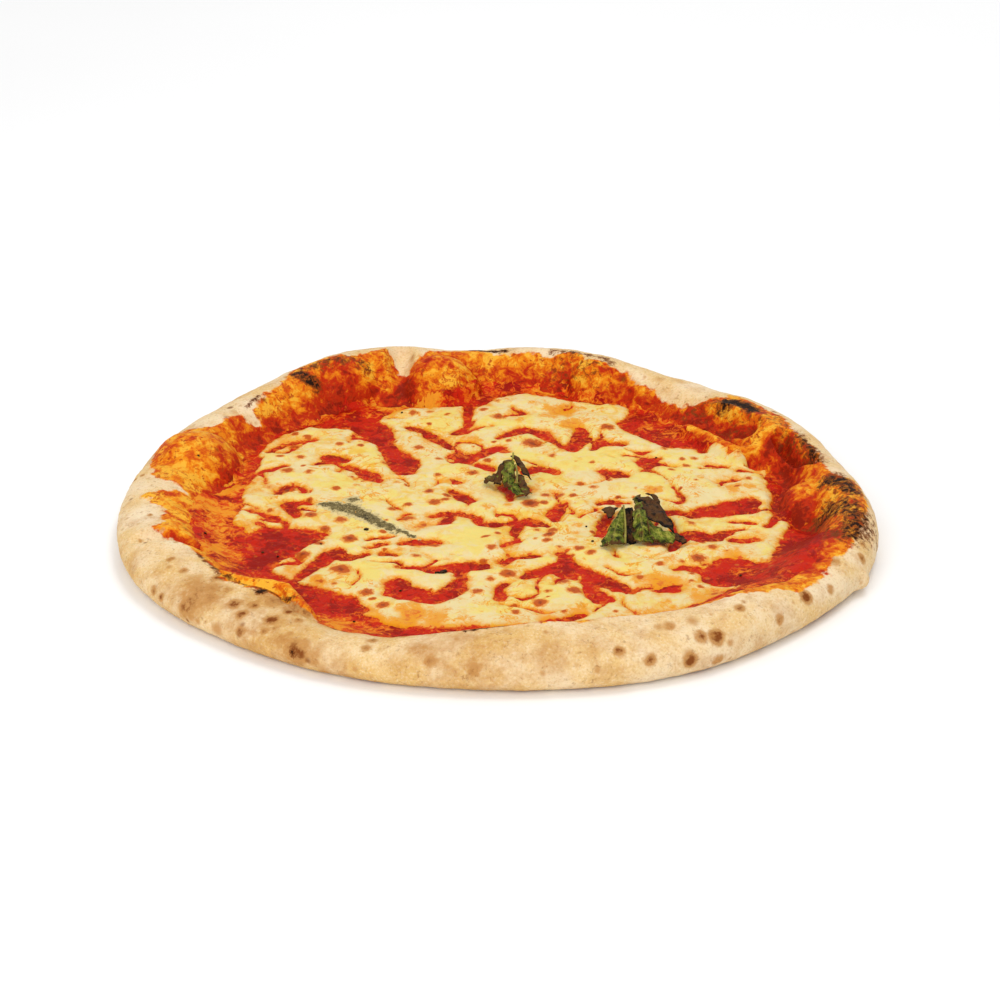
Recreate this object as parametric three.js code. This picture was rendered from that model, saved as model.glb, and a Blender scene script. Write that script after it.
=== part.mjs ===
// A margherita pizza, 300 mm across, lying flat. Millimetres, +Z up, the origin under its middle.
// The dough is one solid with a puffed rim. Tomato sauce, melted mozzarella and three basil leaves
// lie on it, each a thin solid of its own with a little air under it.
import * as THREE from "three";
import { ImprovedNoise } from "three/addons/math/ImprovedNoise.js";

// ---- driving sizes ----
const gap = 0.3; // air between pieces that rest on each other
const discTop = 3.2; // top of the thin dough disc inside the rim
const underRound = 7; // how far the rim's underside pulls in to where it touches
const shoulder = 6.5; // height of the rim's widest line
const sauceDepth = 1.2;
const sauceEdgeDepth = 0.5;
const cheeseDepth = 1.9;
const cheeseEdgeDepth = 0.7;
const lumpTop = 0.6; // how far its lumps stand over its depth
const cheeseRamp = 7; // the mozzarella swells to its full depth this far in from an edge
const cheeseClimb = 0.2; // how far up the rim's foot it runs
const leafThickness = 0.6;

// ---- how finely the solids are cut ----
const turns = 128; // points round the rim
const lowerSteps = 3; // from the touching line out to the widest line
const upperSteps = 4; // from the widest line up to the crest
const slopeSteps = 5; // from the crest down to the edge of the sauce
const footSteps = 2; // from the edge of the sauce to the foot of the rim
const discRings = [98, 62, 30]; // radii on the flat disc
const latticeStep = 5.5; // of the mozzarella
const edgeSlides = 4; // steps in which its points find the edge
const edgeMiss = 0.3; // a point further off than this stays in its place

// The rim, at even steps round from +X towards +Y. Reach is its outer radius and top the height of
// its crest; crest, sauce and foot are distances inwards from the reach.
const rim = {
  reach: [
    146.4, 143.6, 145, 146.3, 143.2, 144.3, 147.4, 148.3, 148.5, 151.9, 152.4, 149.3, 147.4, 147.8, 148,
    149, 150.6, 151.8, 150.3, 148, 147.4, 146.8, 146.3, 147.4, 149.6, 151, 150.4, 151, 153, 151.2,
  ],
  top: [
    18.5, 17, 17, 16.5, 15.5, 15.5, 19, 18.6, 17, 20.5, 21.5, 18.5, 16.8, 16, 15,
    14, 14, 16, 14.8, 14, 12.6, 13.8, 17, 18.8, 18.8, 18.3, 18, 14.6, 16.8, 19.5,
  ],
  crest: [
    11, 15, 17, 19, 16, 14, 15, 12, 13, 16, 16, 15, 15, 15, 17,
    18, 18, 19, 19, 21, 11, 9, 15, 19, 20, 16, 14, 8.5, 12, 11,
  ],
  sauce: [
    31.5, 18, 34, 39, 28, 25, 26, 22, 24, 40, 28, 29, 27, 30, 36,
    26, 25, 27, 26, 30, 21, 18, 23, 26, 28, 26, 22, 15, 18, 20,
  ],
  foot: [
    34, 24, 38, 42, 35, 31, 29, 29, 34, 43, 32, 34, 31, 34, 39,
    41, 42, 43, 41, 39, 36, 34, 34, 36, 39, 41, 41, 44, 43, 29.5,
  ],
};

// Blisters of dough: middle, half length, half width, direction of the length, height of the top.
const doughBubbles = [
  { x: -125, y: 36, long: 26, wide: 19.5, turn: 76, top: 20 },
  { x: -67, y: 117, long: 21, wide: 15, turn: 30, top: 22 },
  { x: -25, y: 120, long: 19, wide: 17, turn: 12, top: 20.5 },
  { x: 45, y: 121, long: 16, wide: 13, turn: -22, top: 20 },
  { x: 65, y: 107, long: 9, wide: 8, turn: -32, top: 14 },
  { x: 122.5, y: 0, long: 16, wide: 10, turn: 88, top: 13.5 },
  { x: 98, y: 74, long: 20, wide: 11, turn: -42, top: 17 },
];

// Folds stand up along their path and furrows sink; path points are x, y and the height there.
const doughFolds = [
  {
    half: 4.5,
    side: 5,
    path: [[81, 72, 9], [88, 62, 10.5], [94, 52, 11], [100, 45, 11], [107, 47, 11], [114, 60, 13]],
  },
  { half: 3.5, side: 4, path: [[-109, -73, 15], [-92, -84, 15.5], [-77, -90, 15.5], [-69, -104, 14]] },
  { half: 4, side: 3, path: [[-137, -8, 14.5], [-122, -22, 12]] },
];
const doughFurrows = [
  { half: 5, side: 5, path: [[84, 80, 8], [92, 71, 6], [98, 63, 6], [104, 59, 6.5]] },
  { half: 5, side: 4, path: [[-42, 130, 14], [-42, 110, 8]] },
  { half: 5, side: 3, path: [[-152, -48, 9], [-138, -46, 11], [-122, -46, 10], [-110, -50, 8]] },
];
const bubbleRoundness = 0.72; // 0.5 would make them half ellipsoids
const blend = 1.6; // how softly bubbles, folds and furrows join the rim
const wrinkle = { size: 17, height: 0.9 }; // broad unevenness of the baked rim

// The mozzarella reaches to this closed line, and the sauce shows through along the streaks.
const cheeseEdge = [
  [-98, 44], [-99, 56], [-93, 72], [-80, 79], [-62, 75], [-50, 88], [-43, 97], [-28, 101], [-12, 101],
  [2, 114], [19, 116], [40, 108], [60, 102], [63, 82], [70, 68], [76, 56], [91, 47], [100, 36], [109, 36],
  [114, 41], [117, 34], [110, 27], [111, 6], [109, -10], [118, -13], [118, -18], [109, -31], [103, -50],
  [94, -60], [88, -76], [70, -87], [44, -97], [10, -104], [-28, -106], [-46, -99], [-62, -88], [-70, -76],
  [-78, -66], [-84, -60], [-72, -40], [-62, -25], [-80, -19], [-98, -12], [-104, 2], [-103, 18],
];
const sauceStreaks = [
  { half: 5.5, path: [[-58, 90], [-50, 74], [-46, 58], [-41, 45], [-36, 36]] },
  { half: 4, path: [[-16, 46], [-9, 45], [-2, 56]] },
  { half: 3, path: [[-53, 29], [-51, 24]] },
  { half: 2.8, path: [[2, 68], [10, 76], [20, 71], [25, 61], [31, 57], [36, 70], [34, 84]] },
  { half: 4.4, path: [[47, 30], [54, 29]] },
  { half: 4.2, path: [[14, 35], [22, 33]] },
  { half: 4.6, path: [[67, -7], [84, -6], [101, -2]] },
  { half: 3.4, path: [[74, -33], [84, -25], [99, -19]] },
  { half: 3.4, path: [[22, 6], [23, -4]] },
  { half: 3.6, path: [[6, -14], [17, -20]] },
  { half: 3.6, path: [[-58, -36], [-64, -48], [-73, -62]] },
  { half: 4.4, path: [[-32, -54], [-20, -58], [-6, -54]] },
  { half: 4.8, path: [[-37, -68], [-33, -82], [-20, -86], [-11, -72]] },
  { half: 4.6, path: [[-66, -78], [-54, -88], [-42, -94]] },
  { half: 3.4, path: [[23, -44], [31, -58], [46, -76]] },
  { half: 3.2, path: [[30, -58], [13, -64]] },
  { half: 4, path: [[39, -72], [41, -88]] },
  { half: 5, path: [[70, -57], [83, -60], [92, -54]] },
];
const raggedness = { size: 11, amount: 2.2 }; // how unevenly the mozzarella ran
const cheeseLumps = [{ size: 9, share: 0.6 }, { size: 23, share: 0.4 }];
const cheeseReach = 125; // the lattice covers this far out from the middle

// Basil. The spine runs from the stem to the tip; half gives the leaf's half width along it and
// rise its height over the mozzarella. The sunken leaf lies in the mozzarella, on the sauce.
const wiltedLeaf = {
  spine: [[57, -13], [54, -27], [53, -41]],
  half: [4, 12, 14],
  rise: [7.5, 5, 0.6],
  droop: 3.4,
  curl: 1.5,
  steps: [8, 10],
};
const curledLeaf = {
  spine: [[7, 27], [5, 17], [7, 6]],
  half: [3, 7.5, 6],
  rise: [8, 5.5, 0.8],
  droop: 3.2,
  curl: 1.4,
  steps: [6, 8],
};
const sunkenLeaf = {
  spine: [[-71, 3], [-52, -10], [-31, -29]],
  half: [5.5, 6.5, 1],
  rise: [0.3, 0.7, 0.3],
  droop: 0,
  curl: 0.5,
  steps: [12, 4],
};
const leafSlot = 2.2; // clear round the sunken leaf

// ---- small helpers ----
const perlin = new ImprovedNoise();
const roughness = (x, y, layer) => perlin.noise(x, y, layer);
const degrees = (angle) => (angle * Math.PI) / 180;
const mix = (a, b, t) => a + (b - a) * t;

// Smooth join of two heights: the higher one wins, rounded over by the blend.
function softMax(a, b) {
  const near = Math.max(blend - Math.abs(a - b), 0) / blend;
  return Math.max(a, b) + (near * near * blend) / 4;
}
const softMin = (a, b) => -softMax(-a, -b);

// A value of the rim at an angle, on a smooth closed curve through its even steps.
function rimAt(name, angle) {
  const values = rim[name];
  const count = values.length;
  const place = ((angle / (2 * Math.PI)) * count + count) % count;
  const index = Math.floor(place);
  const t = place - index;
  const at = (offset) => values[(index + offset + count) % count];
  const startSlope = (at(1) - at(-1)) / 2;
  const endSlope = (at(2) - at(0)) / 2;
  const cubic = 2 * at(0) - 2 * at(1) + startSlope + endSlope;
  const square = 3 * at(1) - 3 * at(0) - 2 * startSlope - endSlope;
  return ((cubic * t + square) * t + startSlope) * t + at(0);
}

// Distance to a path, and the third value of its points there.
function nearPath(path, x, y) {
  let best = { distance: Infinity, value: 0 };
  for (let i = 0; i + 1 < path.length; i++) {
    const [ax, ay, av = 0] = path[i];
    const [bx, by, bv = 0] = path[i + 1];
    const length = (bx - ax) ** 2 + (by - ay) ** 2;
    const t = THREE.MathUtils.clamp(((x - ax) * (bx - ax) + (y - ay) * (by - ay)) / length, 0, 1);
    const distance = Math.hypot(x - mix(ax, bx, t), y - mix(ay, by, t));
    if (distance < best.distance) best = { distance, value: mix(av, bv, t) };
  }
  return best;
}

// ---- the dough ----
function bubbleHeight({ x: middleX, y: middleY, long, wide, turn, top }, x, y) {
  const dx = x - middleX;
  const dy = y - middleY;
  const along = (dx * Math.cos(degrees(turn)) + dy * Math.sin(degrees(turn))) / long;
  const across = (dy * Math.cos(degrees(turn)) - dx * Math.sin(degrees(turn))) / wide;
  const inside = 1 - along * along - across * across;
  return inside > 0 ? discTop + (top - discTop) * inside ** bubbleRoundness : 0;
}

// Height of the rim's upper side by the distance in from its reach, before bubbles and folds.
function plainHeight(angle, inset) {
  const top = rimAt("top", angle);
  const crest = rimAt("crest", angle);
  const foot = rimAt("foot", angle);
  if (inset <= crest) {
    const out = (crest - Math.max(inset, 0)) / crest;
    return shoulder + (top - shoulder) * Math.sqrt(1 - out * out);
  }
  if (inset >= foot) return discTop;
  return mix(discTop, top, 0.5 + 0.5 * Math.cos((Math.PI * (inset - crest)) / (foot - crest)));
}

function doughHeight(x, y) {
  const angle = Math.atan2(y, x);
  const inset = rimAt("reach", angle) - Math.hypot(x, y);
  let height = plainHeight(angle, inset);
  for (const bubble of doughBubbles) height = softMax(height, bubbleHeight(bubble, x, y));
  for (const { half, side, path } of doughFurrows) {
    const { distance, value } = nearPath(path, x, y);
    height = softMin(height, value + side * (distance / half) ** 2);
  }
  for (const { half, side, path } of doughFolds) {
    const { distance, value } = nearPath(path, x, y);
    height = softMax(height, value - side * (distance / half) ** 2);
  }
  const raised = THREE.MathUtils.smoothstep(height, discTop, shoulder);
  const sides = THREE.MathUtils.smoothstep(inset, 0, underRound);
  return height + raised * sides * wrinkle.height * roughness(x / wrinkle.size, y / wrinkle.size, 3.7);
}

// A point of the dough's upper side.
function onDough(angle, radius) {
  const x = radius * Math.cos(angle);
  const y = radius * Math.sin(angle);
  return [x, y, doughHeight(x, y)];
}

// The radii at which the sauce and the dough under it share their points, from the sauce's edge in.
function sharedRadii(angle) {
  const reach = rimAt("reach", angle);
  const sauce = rimAt("sauce", angle);
  const foot = rimAt("foot", angle);
  const radii = [];
  for (let step = 0; step <= footSteps; step++) radii.push(reach - mix(sauce, foot, step / footSteps));
  return radii.concat(discRings);
}

const turnAngle = (turn) => (turn / turns) * 2 * Math.PI;
const discColumns = Array.from({ length: turns }, (_, turn) => (
  sharedRadii(turnAngle(turn)).map((radius) => onDough(turnAngle(turn), radius))
));

// Height of the cut dough under the sauce, on its triangles.
function cutHeight(x, y) {
  const place = Math.atan2(y, x) / turnAngle(1) + turns;
  const here = discColumns[Math.floor(place) % turns];
  const next = discColumns[Math.floor(place + 1) % turns];
  for (let step = 0; step + 1 < here.length; step++) {
    const height = heightOn(here[step], next[step], next[step + 1], x, y)
      ?? heightOn(here[step], next[step + 1], here[step + 1], x, y);
    if (height !== undefined) return height;
  }
  return doughHeight(x, y);
}

// Height of a triangle at a point, or nothing where the point is beside it.
function heightOn([ax, ay, az], [bx, by, bz], [cx, cy, cz], x, y) {
  const whole = (bx - ax) * (cy - ay) - (cx - ax) * (by - ay);
  const b = ((x - ax) * (cy - ay) - (cx - ax) * (y - ay)) / whole;
  const c = ((bx - ax) * (y - ay) - (x - ax) * (by - ay)) / whole;
  return b >= 0 && c >= 0 && b + c <= 1 ? az + b * (bz - az) + c * (cz - az) : undefined;
}

function doughRings() {
  const rings = [];
  for (let turn = 0; turn < turns; turn++) {
    const angle = turnAngle(turn);
    const reach = rimAt("reach", angle);
    const crest = rimAt("crest", angle);
    const sauce = rimAt("sauce", angle);
    const column = [];
    for (let step = 0; step < lowerSteps; step++) {
      const swing = ((step / lowerSteps) * Math.PI) / 2;
      const radius = reach - underRound * (1 - Math.sin(swing));
      column.push([radius * Math.cos(angle), radius * Math.sin(angle), shoulder * (1 - Math.cos(swing))]);
    }
    for (let step = 0; step < upperSteps; step++) {
      const swing = ((step / upperSteps) * Math.PI) / 2;
      column.push(onDough(angle, reach - crest * (1 - Math.cos(swing))));
    }
    for (let step = 0; step < slopeSteps; step++) {
      column.push(onDough(angle, reach - mix(crest, sauce, step / slopeSteps)));
    }
    rings.push(column.concat(discColumns[turn]));
  }
  return rings;
}

// ---- closed solids from points and triangles ----
function solid(points, faces) {
  const geometry = new THREE.BufferGeometry();
  geometry.setAttribute("position", new THREE.Float32BufferAttribute(points.flat(), 3));
  geometry.setIndex(faces.flat());
  geometry.computeVertexNormals();
  return geometry;
}

// Triangles between neighbouring columns of points, closed by a middle point after the last one.
function polarFaces(columns) {
  const depth = columns[0].length;
  const middle = columns.length * depth;
  const faces = [];
  for (let turn = 0; turn < columns.length; turn++) {
    const here = turn * depth;
    const next = ((turn + 1) % columns.length) * depth;
    for (let step = 0; step + 1 < depth; step++) {
      faces.push([here + step, next + step, next + step + 1]);
      faces.push([here + step, next + step + 1, here + step + 1]);
    }
    faces.push([here + depth - 1, next + depth - 1, middle]);
  }
  return faces;
}

// A thin solid: the same triangles above and below, and walls along their open edges.
function sheet(above, below, faces) {
  const open = new Map();
  for (const face of faces) {
    for (let side = 0; side < 3; side++) {
      const start = face[side];
      const end = face[(side + 1) % 3];
      if (!open.delete(`${end} ${start}`)) open.set(`${start} ${end}`, [start, end]);
    }
  }
  const count = above.length;
  const all = faces.concat(faces.map(([a, b, c]) => [a + count, c + count, b + count]));
  for (const [start, end] of open.values()) {
    all.push([start, start + count, end + count], [start, end + count, end]);
  }
  return solid(above.concat(below), all);
}

function crustGeometry() {
  const columns = doughRings();
  const faces = polarFaces(columns);
  const points = columns.flat();
  points.push([0, 0, discTop], [0, 0, 0]);
  const under = points.length - 1;
  const depth = columns[0].length;
  for (let turn = 0; turn < columns.length; turn++) {
    faces.push([((turn + 1) % columns.length) * depth, turn * depth, under]);
  }
  return solid(points, faces);
}

function sauceGeometry() {
  const lifted = (lift, edgeLift) => discColumns
    .flatMap((column) => column.map(([x, y, z], ring) => [x, y, z + (ring === 0 ? edgeLift : lift)]))
    .concat([[0, 0, discTop + lift]]);
  const below = lifted(gap, gap);
  const above = lifted(gap + sauceDepth, gap + sauceEdgeDepth);
  return sheet(above, below, polarFaces(discColumns));
}

// ---- the mozzarella ----
const cheeseOutline = new THREE.CatmullRomCurve3(
  cheeseEdge.map(([x, y]) => new THREE.Vector3(x, y, 0)), true, "catmullrom", 0.5,
).getPoints(cheeseEdge.length * 3).map(({ x, y }) => [x, y]);

function insideOutline(x, y) {
  let inside = false;
  for (let i = 0; i + 1 < cheeseOutline.length; i++) {
    const [ax, ay] = cheeseOutline[i];
    const [bx, by] = cheeseOutline[i + 1];
    if (ay > y !== by > y && x < mix(ax, bx, (y - ay) / (by - ay))) inside = !inside;
  }
  return inside;
}

// How far inside the mozzarella a point lies; below zero it is over the sauce.
function cheeseField(x, y) {
  const angle = Math.atan2(y, x);
  const footRadius = rimAt("reach", angle) - rimAt("foot", angle);
  const outline = nearPath(cheeseOutline, x, y).distance * (insideOutline(x, y) ? 1 : -1);
  const ragged = raggedness.amount * roughness(x / raggedness.size, y / raggedness.size, 8.3);
  let field = outline + ragged;
  for (const { half, path } of sauceStreaks) {
    field = Math.min(field, nearPath(path, x, y).distance - half + ragged * 0.6);
  }
  const leaf = leafSpan(sunkenLeaf, x, y);
  field = Math.min(field, leaf.distance - leaf.half - leafSlot);
  const climb = Math.max(cutHeight(x, y), doughHeight(x, y)) - discTop;
  field = Math.min(field, cheeseRamp * (1 - climb / cheeseClimb));
  return Math.min(field, footRadius - 1 - Math.hypot(x, y));
}

// Distance from a leaf's spine and its half width there.
function leafSpan(leaf, x, y) {
  const path = leaf.spine.map(([px, py], i) => [px, py, leaf.half[i]]);
  const { distance, value } = nearPath(path, x, y);
  return { distance, half: value };
}

// An even triangle lattice whose points near the edge are moved on to it.
function cheeseLattice() {
  const rowStep = (latticeStep * Math.sqrt(3)) / 2;
  const rows = Math.ceil(cheeseReach / rowStep);
  const points = new Map();
  const faces = [];
  for (let row = -rows; row <= rows; row++) {
    for (let column = -rows * 2; column <= rows * 2; column++) {
      const x = (column + (row & 1 ? 0.5 : 0)) * latticeStep;
      points.set(`${column} ${row}`, onEdge(x, row * rowStep));
    }
  }
  for (let row = -rows; row < rows; row++) {
    for (let column = -rows * 2; column < rows * 2; column++) {
      const shift = row & 1 ? 1 : 0;
      const low = [`${column} ${row}`, `${column + 1} ${row}`];
      const high = [`${column + shift} ${row + 1}`, `${column + shift - 1} ${row + 1}`];
      faces.push([low[0], low[1], high[0]], [low[0], high[0], high[1]]);
    }
  }
  return { points, faces };
}

// A point near the mozzarella's edge slides on to it in a few steps down its slope.
function onEdge(startX, startY) {
  const step = 0.05;
  const start = cheeseField(startX, startY);
  let [x, y, field] = [startX, startY, start];
  for (let slide = 0; slide < edgeSlides; slide++) {
    const slopeX = (cheeseField(x + step, y) - cheeseField(x - step, y)) / (2 * step);
    const slopeY = (cheeseField(x, y + step) - cheeseField(x, y - step)) / (2 * step);
    const steepness = Math.max(Math.hypot(slopeX, slopeY), 0.4);
    x -= (field * slopeX) / steepness ** 2;
    y -= (field * slopeY) / steepness ** 2;
    if (Math.hypot(x - startX, y - startY) > latticeStep * 0.45) return [startX, startY, start];
    field = cheeseField(x, y);
  }
  return Math.abs(field) < edgeMiss ? [x, y, 0] : [startX, startY, start];
}

// The lattice's triangles that lie in the mozzarella, as one piece with no two parts meeting at a point.
function cheeseFaces({ points, faces }) {
  const area = ([a, b, c]) => {
    const [pa, pb, pc] = [points.get(a), points.get(b), points.get(c)];
    return ((pb[0] - pa[0]) * (pc[1] - pa[1]) - (pc[0] - pa[0]) * (pb[1] - pa[1])) / 2;
  };
  const smallest = 0.1 * latticeStep * latticeStep;
  let kept = faces.filter((face) => {
    const corners = face.map((key) => points.get(key));
    if (corners.some((corner) => corner === undefined)) return false;
    const middle = corners.reduce((sum, corner) => sum + corner[2], 0) / 3;
    const lowest = Math.min(...corners.map((corner) => corner[2]));
    if (middle <= 0 || lowest < -latticeStep * 0.5 || area(face) < smallest) return false;
    return !sauceStandsIn(corners);
  });
  for (let before = -1; before !== kept.length; ) {
    before = kept.length;
    kept = largestPiece(kept);
    const pinched = pinchedPoints(kept);
    kept = kept.filter((face) => !face.some((key) => pinched.has(key)));
  }
  return kept;
}

// Whether the sauce stands up into a triangle of the mozzarella's underside.
function sauceStandsIn(corners) {
  return corners.some(([ax, ay], index) => {
    const [bx, by] = corners[(index + 1) % 3];
    const [cx, cy] = corners[(index + 2) % 3];
    const side = (cutHeight(ax, ay) + cutHeight(bx, by)) / 2;
    const whole = (2 * side + cutHeight(cx, cy)) / 3;
    return cutHeight((ax + bx) / 2, (ay + by) / 2) > side + gap / 2
      || cutHeight((ax + bx + cx) / 3, (ay + by + cy) / 3) > whole + gap / 2;
  });
}

// Faces that hang together edge to edge with the most others.
function largestPiece(faces) {
  const byEdge = new Map();
  faces.forEach((face, index) => {
    for (let side = 0; side < 3; side++) {
      const edge = [face[side], face[(side + 1) % 3]].sort().join("|");
      byEdge.set(edge, [...(byEdge.get(edge) ?? []), index]);
    }
  });
  const links = faces.map(() => []);
  for (const pair of byEdge.values()) {
    if (pair.length === 2) {
      links[pair[0]].push(pair[1]);
      links[pair[1]].push(pair[0]);
    }
  }
  const seen = new Set();
  let best = [];
  for (let start = 0; start < faces.length; start++) {
    if (seen.has(start)) continue;
    const piece = [start];
    seen.add(start);
    for (const index of piece) {
      for (const other of links[index]) {
        if (!seen.has(other)) {
          seen.add(other);
          piece.push(other);
        }
      }
    }
    if (piece.length > best.length) best = piece;
  }
  return best.map((index) => faces[index]);
}

// Points where the edge of the sheet passes twice.
function pinchedPoints(faces) {
  const open = new Set();
  for (const face of faces) {
    for (let side = 0; side < 3; side++) {
      const start = face[side];
      const end = face[(side + 1) % 3];
      if (!open.delete(`${end}|${start}`)) open.add(`${start}|${end}`);
    }
  }
  const passes = new Map();
  for (const edge of open) {
    const start = edge.split("|")[0];
    passes.set(start, (passes.get(start) ?? 0) + 1);
  }
  return new Set([...passes.keys()].filter((key) => passes.get(key) > 1));
}

function cheeseBottom(x, y) {
  return cutHeight(x, y) + sauceDepth + 2 * gap;
}

function cheeseTop(x, y, field) {
  const swell = THREE.MathUtils.smoothstep(field, 0, cheeseRamp);
  let lumps = 0;
  for (const { size, share } of cheeseLumps) lumps += lumpTop * share * roughness(x / size, y / size, 5.1);
  return cheeseBottom(x, y) + mix(cheeseEdgeDepth, cheeseDepth + lumps, swell);
}

function cheeseGeometry() {
  const lattice = cheeseLattice();
  const kept = cheeseFaces(lattice);
  const places = new Map();
  const above = [];
  const below = [];
  const faces = kept.map((face) => face.map((key) => {
    if (!places.has(key)) {
      const [x, y, field] = lattice.points.get(key);
      places.set(key, above.length);
      above.push([x, y, cheeseTop(x, y, field)]);
      below.push([x, y, cheeseBottom(x, y)]);
    }
    return places.get(key);
  }));
  return sheet(above, below, faces);
}

// ---- the basil ----
function leafGeometry({ spine, half, rise, droop, curl, steps }, floorAt) {
  const [lengthSteps, widthSteps] = steps;
  const curve = new THREE.QuadraticBezierCurve(...spine.map(([x, y]) => new THREE.Vector2(x, y)));
  const quadratic = ([a, b, c], t) => {
    const control = 2 * b - (a + c) / 2;
    return (1 - t) ** 2 * a + 2 * t * (1 - t) * control + t * t * c;
  };
  const above = [];
  const below = [];
  const faces = [];
  for (let i = 0; i <= lengthSteps; i++) {
    const t = i / lengthSteps;
    const middle = curve.getPoint(t);
    const heading = curve.getTangent(t);
    const width = quadratic(half, t);
    for (let j = 0; j <= widthSteps; j++) {
      const side = (2 * j) / widthSteps - 1;
      const teeth = 1 + 0.12 * Math.sin(9 * t + 2 * side);
      const x = middle.x - heading.y * width * teeth * side;
      const y = middle.y + heading.x * width * teeth * side;
      const folds = curl * Math.sin(5.5 * side + 3 * t) * (0.4 + 0.6 * Math.abs(side));
      const height = Math.max(quadratic(rise, t) + folds - droop * Math.abs(side) ** 1.5, 0);
      const floor = floorAt(x, y) + gap;
      below.push([x, y, floor + height]);
      above.push([x, y, floor + height + leafThickness]);
    }
  }
  for (let i = 0; i < lengthSteps; i++) {
    for (let j = 0; j < widthSteps; j++) {
      const corner = i * (widthSteps + 1) + j;
      const beyond = corner + widthSteps + 1;
      faces.push([corner, beyond, beyond + 1], [corner, beyond + 1, corner + 1]);
    }
  }
  return sheet(above, below, faces);
}

// ---- the pizza ----
function piece(name, geometry, color, surfaceRoughness) {
  const material = new THREE.MeshStandardMaterial({ color, roughness: surfaceRoughness, metalness: 0 });
  const mesh = new THREE.Mesh(geometry, material);
  mesh.name = name;
  return mesh;
}

const leafFloor = cheeseBottom(0, 0) + cheeseDepth + lumpTop;
const sauceFloor = cheeseBottom(0, 0) - gap;
const pizza = new THREE.Group();
pizza.add(
  piece("crust", crustGeometry(), 0xe3c79c, 0.85),
  piece("tomato_sauce", sauceGeometry(), 0xc0330f, 0.45),
  piece("mozzarella", cheeseGeometry(), 0xf0dca0, 0.4),
  piece("basil_leaf_wilted", leafGeometry(wiltedLeaf, () => leafFloor), 0x3f5220, 0.6),
  piece("basil_leaf_curled", leafGeometry(curledLeaf, () => leafFloor), 0x35451f, 0.6),
  piece("basil_leaf_sunken", leafGeometry(sunkenLeaf, () => sauceFloor), 0x77754a, 0.5),
);

// The rim is a little longer on one side, so the whole slides to stand evenly about the origin.
const middle = new THREE.Box3().setFromObject(pizza).getCenter(new THREE.Vector3());
for (const { geometry } of pizza.children) geometry.translate(-middle.x, -middle.y, 0);

export default pizza;
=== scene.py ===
import math
import bpy
import numpy as np
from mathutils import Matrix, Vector


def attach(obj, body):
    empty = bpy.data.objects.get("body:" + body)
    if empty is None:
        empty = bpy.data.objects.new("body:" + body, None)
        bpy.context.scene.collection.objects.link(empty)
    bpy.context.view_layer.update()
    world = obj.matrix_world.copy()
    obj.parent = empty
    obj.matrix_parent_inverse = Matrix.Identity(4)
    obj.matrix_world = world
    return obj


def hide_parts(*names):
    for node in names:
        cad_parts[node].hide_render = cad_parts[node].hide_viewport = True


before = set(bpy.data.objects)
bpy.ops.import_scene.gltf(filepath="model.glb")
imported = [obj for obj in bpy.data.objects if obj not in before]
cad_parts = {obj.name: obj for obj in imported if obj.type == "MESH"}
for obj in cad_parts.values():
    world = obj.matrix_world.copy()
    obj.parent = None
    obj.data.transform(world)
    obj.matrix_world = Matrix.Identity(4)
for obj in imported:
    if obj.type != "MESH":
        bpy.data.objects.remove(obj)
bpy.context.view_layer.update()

mm = 0.001  # the forms below are worked out in millimetres and the meshes are made in metres


# small tools for shapes: soft steps, noise and distances

def mix(low, high, share):
    return low + (high - low) * share


def softStep(low, high, value):
    share = np.clip((value - low) / (high - low), 0, 1)
    return share * share * (3 - 2 * share)


noiseDraw = np.random.default_rng(5)
shuffled = noiseDraw.permutation(256)
directions = noiseDraw.normal(size=(256, 3))
directions /= np.linalg.norm(directions, axis=1)[:, None]


def noise(x, y, z, size):
    points = np.stack(np.broadcast_arrays(x, y, z), -1) / size
    cell = np.floor(points).astype(int)
    inner = points - cell
    fade = inner ** 3 * (inner * (inner * 6 - 15) + 10)
    total = 0
    for corner in np.ndindex(2, 2, 2):
        at = (cell + corner) & 255
        spot = shuffled[(shuffled[(shuffled[at[..., 0]] + at[..., 1]) & 255] + at[..., 2]) & 255]
        weight = np.prod(np.where(corner, fade, 1 - fade), -1)
        total = total + weight * (directions[spot] * (inner - corner)).sum(-1)
    return total * 1.7  # about -1 to 1


def roughNoise(x, y, z, size, octaves=3):
    return sum(noise(x, y, z + 11 * step, size / 2 ** step) / 2 ** step for step in range(octaves))


def waves(x, y, z, layers, start=0):  # adds layers of noise, each with its height, level and size
    return sum((height * noise(x, y, z + level, size) for height, level, size in layers), start)


def nearPath(path, x, y):  # distance to a line of points, and their third number there
    best = np.full(np.shape(x), np.inf)
    value = np.zeros(np.shape(x))
    for start, end in zip(path[:-1], path[1:]):
        runX, runY = end[0] - start[0], end[1] - start[1]
        share = np.clip(((x - start[0]) * runX + (y - start[1]) * runY) / (runX ** 2 + runY ** 2), 0, 1)
        distance = np.hypot(x - start[0] - share * runX, y - start[1] - share * runY)
        if len(start) > 2:
            value = np.where(distance < best, mix(start[2], end[2], share), value)
        best = np.minimum(distance, best)
    return best, value


def nearSpot(spots, x, y, z):  # 1 in the middle of the nearest round spot, 0 outside all of them
    best = np.zeros(np.shape(x))
    for spotX, spotY, spotZ, radius, strength in spots:
        away = np.sqrt((x - spotX) ** 2 + (y - spotY) ** 2 + (z - spotZ) ** 2) / radius
        best = np.maximum(best, strength * np.clip(1.25 - away, 0, 1))
    return best


def nearPatch(patches, x, y):  # the same for flat patches with ragged edges
    best = np.zeros_like(x)
    for patchX, patchY, radius, strength in patches:
        away = np.hypot(x - patchX, y - patchY) / radius + 0.5 * noise(x, y, 17, 5)
        best = np.maximum(best, strength * softStep(1.3, 0.2, away))
    return best


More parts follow.
